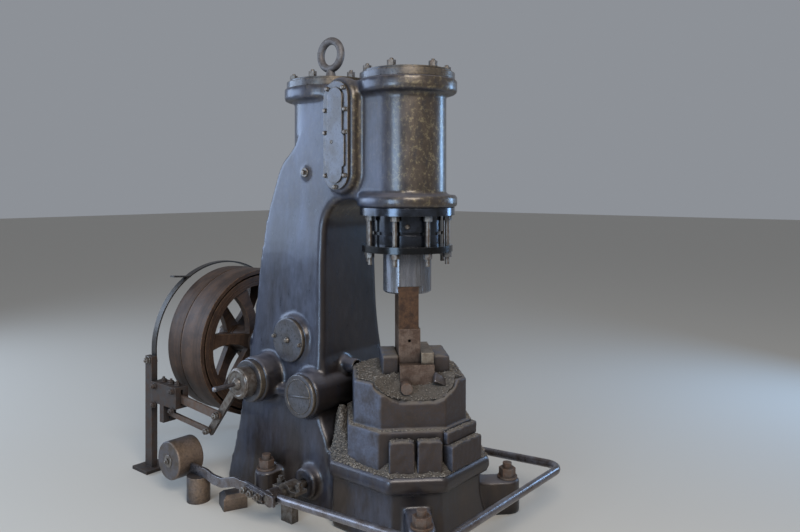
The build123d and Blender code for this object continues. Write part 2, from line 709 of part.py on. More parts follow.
def die_shoe():
    slot_right = DIE_LEFT + SLOT_W
    left = DIE_LEFT + SEAT_GAP
    right = slot_right - SEAT_GAP
    return die_frame(block(left, right, SHOE_FRONT, SHOE_BACK, SHOE_TOP_Z - SHOE_H, SHOE_TOP_Z))


def bottom_die():
    right = DIE_LEFT + BOTTOM_DIE_W
    body = block(DIE_LEFT + SEAT_GAP, right, -DIE_L / 2, DIE_L / 2, SHOE_TOP_Z, DIE_MEET_Z - SEAT_GAP)
    hole = bar_y(0, DIE_MEET_Z - TONGS_HOLE_DROP, -DIE_L / 2 - 1, -DIE_L / 2 + TONGS_HOLE_L, TONGS_HOLE_R)
    return die_frame(body - hole)


def bottom_die_key():
    left = DIE_LEFT + BOTTOM_DIE_W + SEAT_GAP
    right = DIE_LEFT + SLOT_W - SEAT_GAP
    front = -CHEEK_L / 2 - BOTTOM_KEY_PROUD
    key = block(left, right, front, CHEEK_L / 2, SHOE_TOP_Z, SHOE_TOP_Z + BOTTOM_KEY_H)
    return die_frame(key)


def shoe_bolt():
    bolt = bar_y(DIE_LEFT + SHOE_BOLT_R, SHOE_TOP_Z - SHOE_H + SHOE_BOLT_RISE, SHOE_FRONT - SHOE_BOLT_L,
                 SHOE_FRONT, SHOE_BOLT_R)
    return die_frame(bolt)


def wedge_blocks():
    """Two upright wedges between the anvil foot and the rim of the pan."""
    back = -FOOT_ACROSS / 2
    front = back - WEDGE_L
    wedges = []
    for side in (-1, 1):
        left = WEDGE_OFF_CENTRE + (WEDGE_GAP / 2 if side > 0 else -WEDGE_GAP / 2 - WEDGE_W)
        wedge = block(left, left + WEDGE_W, front, back, PAN_FLOOR_Z, WEDGE_TOP_Z)
        wedge = fillet(wedge.edges().filter_by(Axis.Y).group_by(Axis.Z)[-1], WEDGE_ROUND)
        wedges.append(die_frame(wedge))
    return wedges


def valve_cover():
    """Plate with rounded ends and a keyhole-shaped raised pad."""
    x = -CHEST_X
    outline = Plane.YZ * SlotOverall(VALVE_COVER_H, VALVE_COVER_W, rotation=90)
    plate = Pos(x, VALVE_COVER_Y, valve_cover_z) * extrude(outline, -VALVE_COVER_T)
    low_w = VALVE_COVER_W - 2 * VALVE_PAD_MARGIN
    pad = Plane.YZ * SlotOverall(VALVE_COVER_H - 2 * VALVE_PAD_MARGIN, low_w, rotation=90)
    belly_w = VALVE_COVER_W - 2 * VALVE_BELLY_MARGIN
    swell = RectangleRounded(belly_w, VALVE_BELLY_H, VALVE_BELLY_MARGIN)
    belly = Plane.YZ * Pos(0, -VALVE_BELLY_DROP) * swell
    raised = extrude(pad, -VALVE_PAD_T) + extrude(belly, -VALVE_PAD_T)
    return plate + Pos(x - VALVE_COVER_T, VALVE_COVER_Y, valve_cover_z) * raised


def round_cover(y, z, x, radius, thickness):
    """Disc cover on a boss, its outer edge rounded."""
    disc = bar_x(y, z, -x - thickness, -x, radius)
    rim = disc.edges().filter_by(GeomType.CIRCLE).sort_by(Axis.X)[0]
    return fillet(rim, COVER_EDGE_ROUND)


def pulley(y, width, phase, bore):
    """Belt pulley: crowned rim, inner ring, six curved arms and hub."""
    edge_r = PULLEY_R - PULLEY_CROWN
    inner_r = PULLEY_R - RIM_WALL
    web_end = WEB_RECESS + WEB_T
    ring_r = inner_r - FACE_GROOVE_W
    step = FACE_RING_SETBACK + FACE_RING_STEP
    wheel = turned([(WEB_R, step), (FACE_STEP_R, step), (FACE_STEP_R, FACE_RING_SETBACK),
                    (ring_r, FACE_RING_SETBACK), (ring_r, WEB_RECESS), (inner_r, WEB_RECESS), (inner_r, 0),
                    (edge_r, 0), (PULLEY_R, width / 2), (edge_r, width), (inner_r, width),
                    (inner_r, web_end), (WEB_R, web_end)])
    wheel += post(0, 0, 0, width, HUB_R)
    arm = Pos(0, 0, (web_end - ARM_T) / 2) * extrude(arm_outline(), ARM_T)
    for angle in around(ARM_COUNT, phase):
        wheel += Rot(0, 0, angle) * arm
    wheel -= post(0, 0, -1, width + 1, bore)
    return Pos(0, y, SHAFT_Z) * Rot(-90, 0, 0) * wheel


def arm_outline():
    """Arm along +X from hub to inner ring, swept a little and flared at both ends."""
    inner = HUB_R - ARM_LAP
    outer = WEB_R + ARM_LAP
    mid = (inner + outer) / 2
    root = ARM_ROOT_W / 2 + ARM_ROOT_FLARE
    waist = ARM_TIP_W / 2
    tip = ARM_TIP_W / 2 + ARM_TIP_FLARE
    upper = Spline((inner, root), (mid, waist + ARM_SWEEP), (outer, tip))
    lower = Spline((outer, -tip), (mid, -waist + ARM_SWEEP), (inner, -root))
    ends = Line(upper @ 1, lower @ 0) + Line(lower @ 1, upper @ 0)
    return make_face(upper + lower + ends)


def crankshaft():
    """Drive end of the shaft, from inside the bearing to the rear."""
    shaft = bar_y(0, SHAFT_Z, SHAFT_START_Y, shaft_end_y, SHAFT_R)
    return chamfer(shaft.edges().filter_by(GeomType.CIRCLE).sort_by(Axis.Y)[-1], SHAFT_CHAMFER)


def shaft_ring(y0, y1, outer, clearance):
    """Ring on the shaft."""
    return bar_y(0, SHAFT_Z, y0, y1, outer) - bar_y(0, SHAFT_Z, y0 - 1, y1 + 1, SHAFT_R + clearance)


def belt_hoop():
    """Flat strip bent round the pulleys, with a drilled tab."""
    y0 = HOOP_Y - HOOP_W / 2
    y1 = HOOP_Y + HOOP_W / 2
    strip = bar_y(0, HOOP_Z, y0, y1, HOOP_R) - bar_y(0, HOOP_Z, y0 - 1, y1 + 1, HOOP_R - HOOP_T)
    strip -= block(-2 * HOOP_R, 2 * HOOP_R, 0, 2 * HOOP_Y, -HOOP_R, hoop_end_z)
    dx, dz = polar(HOOP_R - HOOP_T, HOOP_TAB_ANGLE)
    tab = Pos(-HOOP_TAB_L / 2, 0, 0) * Box(HOOP_TAB_L, HOOP_TAB_W, HOOP_T)
    tab -= Pos(HOOP_TAB_W / 2 - HOOP_TAB_L, 0, 0) * Cylinder(HOOP_TAB_HOLE_R, 3 * HOOP_T)
    return strip + Pos(dx, HOOP_Y, HOOP_Z + dz) * Rot(0, HOOP_TAB_TILT, 0) * tab


def hoop_post(side):
    """Flat upright from the floor to the end of the hoop, on a foot plate."""
    x = side * stand_x
    half = STAND_FOOT / 2
    top = hoop_end_z + STAND_RISE
    foot = block(x - half, x + half, HOOP_Y - half, HOOP_Y + half, 0, STAND_FOOT_T)
    upright = block(x - STAND_T / 2, x + STAND_T / 2, HOOP_Y - STAND_W / 2, HOOP_Y + STAND_W / 2, 0, top)
    groove = bar_y(0, HOOP_Z, HOOP_Y - STAND_W, HOOP_Y + STAND_W, HOOP_R + SEAT_GAP)
    return foot + (upright - groove)


def lever_pin(index):
    """Place of a link pin in Y and Z, down the lever arm."""
    reach = LEVER_ARM_L + index * LINK_PIN_STEP
    lean = radians(LEVER_ARM_LEAN)
    return LEVER_Y + reach * sin(lean), LEVER_Z - reach * cos(lean)


def hand_lever():
    """Hub with its arm and the round grip."""
    hub = bar_x(LEVER_Y, LEVER_Z, lever_arm_x, lever_hub_x, LEVER_HUB_R)
    hub = fillet(hub.edges().filter_by(GeomType.CIRCLE).sort_by(Axis.X)[0], HUB_ROUND)
    hub -= bar_x(LEVER_Y, LEVER_Z, lever_hub_x - LEVER_PIVOT_L, lever_hub_x + 1, LEVER_PIVOT_R + RUN_FIT)
    arm_l = LEVER_ARM_L + LINK_PIN_STEP + LEVER_ARM_TAIL
    arm = Pos(lever_arm_x + LEVER_ARM_T / 2, LEVER_Y, LEVER_Z) * Rot(LEVER_ARM_LEAN, 0, 0) \
        * Pos(0, 0, -arm_l / 2) * Box(LEVER_ARM_T, LEVER_ARM_W, arm_l)
    for index in (0, 1):
        y, z = lever_pin(index)
        arm -= bar_x(y, z, lever_arm_x - 1, lever_arm_x + LEVER_ARM_T + 1, LINK_PIN_R + RUN_FIT)
    return hub + arm


def lever_seat():
    """Ring bolted to the boss, with the pin that the hub turns on."""
    ring = bar_x(LEVER_Y, LEVER_Z, lever_ring_x, -LEVER_BOSS_X, LEVER_RING_R)
    ring = fillet(ring.edges().filter_by(GeomType.CIRCLE).sort_by(Axis.X)[0], HUB_ROUND)
    return ring + bar_x(LEVER_Y, LEVER_Z, lever_hub_x - LEVER_PIVOT_L + 1, lever_ring_x + 1, LEVER_PIVOT_R)


def control_spindle():
    """Round grip that stands out of the hub."""
    grip = bar_x(LEVER_Y, LEVER_Z, lever_arm_x - SPINDLE_L, lever_arm_x, SPINDLE_R)
    return fillet(grip.edges().filter_by(GeomType.CIRCLE).sort_by(Axis.X)[0], SPINDLE_ROUND)


def link_bar(index):
    """Flat bar from its pin on the lever arm back into the guide of the shifter stand."""
    y, z = lever_pin(index)
    run = LINK_END_Y[index] - y
    length = sqrt(run ** 2 + LINK_RISE[index] ** 2)
    tilt = degrees(atan2(LINK_RISE[index], run))
    outline = Plane.YZ * Pos(length / 2, 0) * SlotCenterToCenter(length, LINK_BAR_H[index])
    bar = extrude(outline, LINK_BAR_T)
    pin = bar_x(0, 0, -LINK_PIN_HEAD, LINK_BAR_T + SEAT_GAP + LEVER_ARM_T + LINK_PIN_TAIL, LINK_PIN_R)
    return Pos(link_bar_x, y, z) * Rot(tilt, 0, 0) * (bar + pin)


def link_z(index, at_y):
    """Height of a link bar's centre line."""
    y, z = lever_pin(index)
    return z + LINK_RISE[index] * (at_y - y) / (LINK_END_Y[index] - y)


def shifter_guide():
    """Block on the left hoop post with a window for the upper bar and a loop for the lower one."""
    middle = link_bar_x + LINK_BAR_T / 2
    rear = HOOP_Y - STAND_W / 2
    front = rear - GUIDE_L
    side = LINK_BAR_T / 2 + SEAT_GAP
    body = guide_loop(middle, side, 0, front, rear)
    return body + guide_loop(middle, side, 1, HANGER_FRONT, HANGER_REAR)


def guide_loop(middle, side, index, front, rear):
    """Frame round one bar, with room for the bar to sway."""
    z = link_z(index, (front + rear) / 2)
    half = LINK_BAR_H[index] / 2 + LINK_SWAY
    outer = half + GUIDE_WALL
    frame = block(middle - GUIDE_T / 2, middle + GUIDE_T / 2, front, rear, z - outer, z + outer)
    return frame - block(middle - side, middle + side, front - 1, rear + 1, z - half, z + half)


def treadle_z(y):
    """Height of the treadle's centre line, straight from the pivot to the front run."""
    share = (PIVOT_Y - y) / (PIVOT_Y - TREADLE_FRONT)
    return PIVOT_Z + share * (TREADLE_FRONT_Z - PIVOT_Z)


def treadle_bar():
    """Round bar bent into a U that reaches round the front of the base."""
    start_y = PIVOT_Y - sqrt(TREADLE_HUB_R ** 2 - TREADLE_R ** 2) + 1
    start_z = treadle_z(start_y)
    path = FilletPolyline((-TREADLE_X, start_y, start_z), (-TREADLE_X, TREADLE_FRONT, TREADLE_FRONT_Z),
                          (TREADLE_X, TREADLE_FRONT, TREADLE_FRONT_Z), (TREADLE_X, start_y, start_z),
                          radius=TREADLE_BEND_R)
    section = Plane(origin=path @ 0, z_dir=path % 0) * Circle(TREADLE_R)
    bar = sweep(section, path=path)
    for side in (-1, 1):
        x = side * TREADLE_X
        bar += bar_x(PIVOT_Y, PIVOT_Z, x - TREADLE_HUB_L / 2, x + TREADLE_HUB_L / 2, TREADLE_HUB_R)
        bar -= bar_x(PIVOT_Y, PIVOT_Z, x - TREADLE_HUB_L, x + TREADLE_HUB_L, PIVOT_R + RUN_FIT)
    return bar


def pivot_shaft(side):
    inner = side * (PIVOT_BOSS_X - PIVOT_SEAT_L + SEAT_GAP)
    outer = side * (TREADLE_X + TREADLE_HUB_L / 2 + LEVER_BAR_T)
    return bar_x(PIVOT_Y, PIVOT_Z, inner, outer, PIVOT_R)


def shaft_chair(side):
    """Bearing on a leg from the floor, with a bolted plate, at the outer end of the treadle shaft."""
    x = side * CHAIR_X
    top = PIVOT_Z + CHAIR_SHOULDER
    leg = block(x - CHAIR_LEG_L / 2, x + CHAIR_LEG_L / 2, PIVOT_Y - CHAIR_LEG_W / 2,
                PIVOT_Y + CHAIR_LEG_W / 2, 0, top)
    plate = block(x - CHAIR_L / 2, x + CHAIR_L / 2, PIVOT_Y - CHAIR_W / 2, PIVOT_Y + CHAIR_W / 2,
                  top - CHAIR_PLATE_T, top)
    body = leg + plate + bar_x(PIVOT_Y, PIVOT_Z, x - CHAIR_L / 2, x + CHAIR_L / 2, CHAIR_CAP_R)
    return body - bar_x(PIVOT_Y, PIVOT_Z, x - CHAIR_L, x + CHAIR_L, PIVOT_R + RUN_FIT)


def chair_bolts(side):
    bolts = []
    for dy in (-1, 1):
        x = side * CHAIR_X
        y = PIVOT_Y + dy * (CHAIR_W / 2 - CHAIR_BOLT_INSET)
        seat_z = PIVOT_Z + CHAIR_SHOULDER
        stud = post(x, y, seat_z, seat_z + CHAIR_NUT_T + CHAIR_BOLT_PROUD, CHAIR_BOLT_R)
        bolts.append(nut(x, y, seat_z, CHAIR_NUT_AF, CHAIR_NUT_T) + stud)
    return bolts


def treadle_lever():
    """Flat bar from the left hub back to the balance weight, bent down to lie on its stop."""
    half = LEVER_BAR_H / 2
    centre = [(PIVOT_Y - LEVER_NOSE, PIVOT_Z), (PIVOT_Y + LEVER_CREST_START, lever_crest_z),
              (PIVOT_Y + LEVER_CREST_END, lever_crest_z), (PIVOT_Y + LEVER_DIP_START, lever_dip_z),
              (PIVOT_Y + LEVER_DIP_END, lever_dip_z), (PIVOT_Y + LEVER_REST_START, lever_end_z),
              (WEIGHT_Y - WEIGHT_R + WEIGHT_SLOT, lever_end_z)]
    upper = FilletPolyline(*[(y, z + half) for y, z in centre], radius=LEVER_BEND_R)
    lower = FilletPolyline(*[(y, z - half) for y, z in centre], radius=LEVER_BEND_R)
    outline = make_face(upper + lower + Line(upper @ 0, lower @ 0) + Line(upper @ 1, lower @ 1))
    bar = Pos(lever_bar_x, 0, 0) * extrude(Plane.YZ * outline, LEVER_BAR_T)
    tilt = degrees(atan2(LEVER_CREST, LEVER_CREST_START + LEVER_NOSE))
    plate = Pos(lever_bar_x - FISH_PLATE_T / 2, PIVOT_Y, PIVOT_Z) * Rot(tilt, 0, 0) \
        * Pos(0, FISH_PLATE_L / 2, 0) * Box(FISH_PLATE_T, FISH_PLATE_L, FISH_PLATE_H)
    outer = lever_bar_x - LEVER_BAR_T
    hole = bar_x(PIVOT_Y, PIVOT_Z, outer, lever_bar_x + LEVER_BAR_T + 1, PIVOT_R + RUN_FIT)
    return bar + plate - hole


def balance_weight():
    middle = lever_bar_x + LEVER_BAR_T / 2
    weight = bar_x(WEIGHT_Y, WEIGHT_Z, middle - WEIGHT_L / 2, middle + WEIGHT_L / 2, WEIGHT_R)
    weight = fillet(weight.edges().filter_by(GeomType.CIRCLE), WEIGHT_ROUND)
    front = WEIGHT_Y - WEIGHT_R
    side = LEVER_BAR_T / 2 + SEAT_GAP / 2
    high = LEVER_BAR_H / 2 + SEAT_GAP
    back = front + WEIGHT_SLOT + SEAT_GAP
    slot = block(middle - side, middle + side, front - 1, back, lever_end_z - high, lever_end_z + high)
    return weight - slot


def spare_block():
    """Short iron block with its upper edges chamfered."""
    body = Box(SPARE_BLOCK_L, SPARE_BLOCK_W, SPARE_BLOCK_H)
    body = chamfer(body.edges().group_by(Axis.Z)[-1], SPARE_BLOCK_CHAMFER)
    return Pos(SPARE_BLOCK_X, SPARE_BLOCK_Y, SPARE_BLOCK_H / 2) * Rot(0, 0, SPARE_BLOCK_TURN) * body


def foundation_bolt(x, y):
    """Threaded end with its nut and washer standing on the lug."""
    washer = post(x, y, LUG_H, LUG_H + WASHER_T, WASHER_R)
    hexagon_nut = nut(x, y, LUG_H + WASHER_T, NUT_AF, NUT_T)
    return washer + hexagon_nut + post(x, y, 0, LUG_H + WASHER_T + NUT_T + BOLT_PROUD, BOLT_R)


def rim_bars():
    """Two flat bars stacked on the rim, against the cut front of the anvil foot."""
    half = BAR_L / 2
    front = -PAN_Y + LOWER_BAR_SETBACK
    lower = block(-half, half, front, -FOOT_FRONT, PAN_TOP_Z, LOWER_BAR_TOP_Z)
    front = -FOOT_FRONT - UPPER_BAR_T
    upper = block(-half, half, front, -FOOT_FRONT, LOWER_BAR_TOP_Z, UPPER_BAR_TOP_Z)
    return lower, upper


os.makedirs("parts", exist_ok=True)

save("frame_casting", frame_casting())
save("working_cylinder_cover", cylinder_cover(0))
save("compressor_cylinder_cover", cylinder_cover(COMPRESSOR_Y))
save("cover_nuts", *cover_nuts(0), *cover_nuts(COMPRESSOR_Y))
save("lifting_eye", lifting_eye())
save("valve_cover", valve_cover())
save("upper_housing_cover",
     round_cover(UPPER_COVER_Y, UPPER_COVER_Z, UPPER_BOSS_X, UPPER_COVER_R, UPPER_COVER_T))
save("lower_housing_cover",
     round_cover(LOWER_COVER_Y, LOWER_COVER_Z, LOWER_BOSS_X, LOWER_COVER_R, LOWER_COVER_T))
save("gland_top_ring", gland_ring(gland_top_z, CYL_FOOT_Z, GLAND_TOP_R))
save("gland_body", gland_body())
save("gland_lower_ring", gland_lower_ring())
save("gland_studs", *gland_studs())
save("gland_nuts", *gland_nuts())
save("shaft_bearing_cap", shaft_ring(BEARING_END_Y, BEARING_END_Y + BEARING_CAP_T, BEARING_CAP_R, RUN_FIT))

save("ram", ram())
save("top_die", top_die())
save("top_die_key", top_die_key())

save("anvil", anvil())
save("die_shoe", die_shoe())
save("bottom_die", bottom_die())
save("bottom_die_key", bottom_die_key())
save("shoe_bolt", shoe_bolt())
save("wedge_blocks", *wedge_blocks())
lower_bar, upper_bar = rim_bars()
save("rim_bar_lower", lower_bar)
save("rim_bar_upper", upper_bar)

save("crankshaft", crankshaft())
save("shaft_collar", shaft_ring(collar_y, collar_y + COLLAR_T, COLLAR_R, RUN_FIT))
save("fast_pulley", pulley(FAST_Y, FAST_W, ARM_PHASE, SHAFT_R + RUN_FIT))
save("loose_pulley", pulley(loose_y, LOOSE_W, -ARM_PHASE, SHAFT_R + RUN_FIT))

save("lever_seat", lever_seat())
save("hand_lever", hand_lever())
save("control_spindle", control_spindle())
save("link_bar_upper", link_bar(0))
save("link_bar_lower", link_bar(1))
save("shifter_guide", shifter_guide())
save("belt_hoop", belt_hoop())
save("hoop_posts", hoop_post(-1), hoop_post(1))

save("treadle_bar", treadle_bar())
save("treadle_lever", treadle_lever())
save("balance_weight", balance_weight())
save("treadle_shafts", pivot_shaft(-1), pivot_shaft(1))
save("shaft_chairs", shaft_chair(-1), shaft_chair(1))
save("shaft_chair_bolts", *chair_bolts(-1), *chair_bolts(1))
save("lever_stop", post(lever_bar_x + LEVER_BAR_T / 2, STOP_Y, 0, STOP_H, STOP_R), spare_block())
save("foundation_bolts", *[foundation_bolt(x, y) for x, y in bolt_places()])
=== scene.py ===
import bpy
import random
from math import cos, hypot, pi, radians, sin
from mathutils import Matrix, Vector, noise
from mathutils.bvhtree import BVHTree


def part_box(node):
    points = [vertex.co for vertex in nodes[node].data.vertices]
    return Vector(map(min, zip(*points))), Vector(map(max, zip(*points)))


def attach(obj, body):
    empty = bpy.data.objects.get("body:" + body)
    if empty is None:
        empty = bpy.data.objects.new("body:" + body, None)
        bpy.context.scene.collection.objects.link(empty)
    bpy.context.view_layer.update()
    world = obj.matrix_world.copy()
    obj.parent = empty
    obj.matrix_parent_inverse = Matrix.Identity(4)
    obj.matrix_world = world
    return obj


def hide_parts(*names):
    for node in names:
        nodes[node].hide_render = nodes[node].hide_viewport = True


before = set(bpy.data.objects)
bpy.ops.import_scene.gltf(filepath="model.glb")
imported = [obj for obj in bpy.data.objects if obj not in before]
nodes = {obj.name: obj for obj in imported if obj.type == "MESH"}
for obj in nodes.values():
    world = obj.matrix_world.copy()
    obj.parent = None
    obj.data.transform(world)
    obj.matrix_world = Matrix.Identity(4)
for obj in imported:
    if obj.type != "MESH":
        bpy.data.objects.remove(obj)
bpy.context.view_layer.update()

# Camera: level and at eye height, off the front left corner. The horizon lies above the middle of the
# picture, so the lens is shifted down instead of the camera being tilted.
CAMERA_PLACE = (-2.250, -1.826, 1.300)
CAMERA_HEADING = 50.37                # degrees from +Y towards +X
PICTURE_W, PICTURE_H = 800, 532
FOCAL_PX = 726
HORIZON_PX = 187.2
SENSOR_MM = 36
camera_data = bpy.data.cameras.new("camera")
camera_data.sensor_width = SENSOR_MM
camera_data.lens = FOCAL_PX / PICTURE_W * SENSOR_MM
camera_data.shift_y = (HORIZON_PX - PICTURE_H / 2) / PICTURE_W
camera = bpy.data.objects.new("camera", camera_data)
camera.location = CAMERA_PLACE
camera.rotation_euler = (pi / 2, 0, -radians(CAMERA_HEADING))
bpy.context.scene.collection.objects.link(camera)
bpy.context.scene.camera = camera


# Studio: a pale matt floor that runs out of the picture, a grey world and four soft lamps. The broad one
# at the rear and the one on the left are cool, the small one on the right is blue, and the one above in
# front is warm.
FLOOR_COLOUR, FLOOR_ROUGH, FLOOR_SIZE = "#c9c4bb", 0.85, 60
WORLD_COLOUR, WORLD_STRENGTH = "#b9bec6", 0.55
AIM = Vector((0.0, 0.25, 0.9))
LAMPS = (                             # name, place, size in metres, power in watts, colour
    ("rear_lamp", (-2.3, 4.2, 1.9), (4.2, 2.0), 108, (0.60, 0.76, 1.0)),
    ("left_lamp", (-4.0, -0.4, 1.3), (1.4, 1.6), 72, (0.50, 0.72, 1.0)),
    ("right_lamp", (3.3, -1.4, 1.55), (0.8, 1.2), 38, (0.34, 0.60, 1.0)),
    ("front_lamp", (-2.2, -2.5, 3.3), (2.2, 1.8), 120, (1.0, 0.93, 0.84)),
)


def linear(hex_colour):
    """An sRGB hex colour as the linear RGBA that a shader takes."""
    channels = [int(hex_colour[i:i + 2], 16) / 255 for i in (1, 3, 5)]
    return (*[c / 12.92 if c <= 0.04045 else ((c + 0.055) / 1.055) ** 2.4 for c in channels], 1)


bpy.ops.object.select_all(action="DESELECT")
bpy.ops.mesh.primitive_plane_add(size=FLOOR_SIZE)
floor = bpy.context.object
floor.name = "floor"
floor_finish = bpy.data.materials.new("pale_floor")
floor_finish.use_nodes = True
floor_shader = floor_finish.node_tree.nodes["Principled BSDF"]
floor_shader.inputs["Base Color"].default_value = linear(FLOOR_COLOUR)
floor_shader.inputs["Roughness"].default_value = FLOOR_ROUGH
floor.data.materials.append(floor_finish)

world = bpy.data.worlds.new("studio")
world.use_nodes = True
world.node_tree.nodes["Background"].inputs["Color"].default_value = linear(WORLD_COLOUR)
world.node_tree.nodes["Background"].inputs["Strength"].default_value = WORLD_STRENGTH
bpy.context.scene.world = world
bpy.context.scene.view_settings.view_transform = "Standard"

for name, place, size, power, tint in LAMPS:
    lamp_data = bpy.data.lights.new(name, "AREA")
    lamp_data.shape = "RECTANGLE"
    lamp_data.size, lamp_data.size_y = size
    lamp_data.energy = power
    lamp_data.color = tint
    lamp = bpy.data.objects.new(name, lamp_data)
    lamp.location = place
    lamp.rotation_euler = (AIM - Vector(place)).to_track_quat("-Z", "Y").to_euler()
    bpy.context.scene.collection.objects.link(lamp)


# Main casting: one piece of grey iron that carries both cylinders, the crank housing and the anvil pan.
# It was cast in sand, so its corners are soft. Oil and smoke have made it black, and the blue-grey in its
# colour is a painted sheen of the cool light. On the faces turned to the front it is brown, partly patina
# and partly a painted warm reflection, with golden flecks that are painted glints, and darker lower down.
# Its corners are rubbed to a golden brown.
PAN_HALF_X, PAN_HALF_Y, PAN_DIAGONAL = 0.290, 0.295, 0.437
RIM_TOP, RIM_FOOT = 0.262, 0.196
SKIRT_HOLLOW = 0.070                  # of the skirt behind the rim's roll, as a share of its half width
GLINT_MM, RING_MM, WAVE_MM = 16, 14, 28             # painted glints, worn rings, waves of a cast skin
SPECKS_TO_PATCH = 6
DARKER_BELOW, DARKER_FADE = 1.20, 0.05      # the front-facing colour is darker below this height
GRIME_SHADE_REACH = 0.070                   # how far painted shade and grime reach from a corner
EDGE_SHARE = 0.8                      # of an edge that is rubbed bright
DUST_ROUGH, OIL_ROUGH = 0.95, 0.16
COLOURS = {"output": 2, "data_type": "RGBA"}        # what makes a Mix node one of colours


def add_node(tree, kind, inputs=(), output=0, **settings):
    """Adds a node with its settings and links, and gives one of its outputs. Its inputs are values, hex
    colours or links, in order or by socket."""
    node = tree.nodes.new("ShaderNode" + kind)
    for name, value in settings.items():
        setattr(node, name, value)
    for socket, value in inputs.items() if isinstance(inputs, dict) else enumerate(inputs):
        if isinstance(value, bpy.types.NodeSocket):
            tree.links.new(value, node.inputs[socket])
        else:
            node.inputs[socket].default_value = linear(value) if isinstance(value, str) else value
    return node.outputs[output]


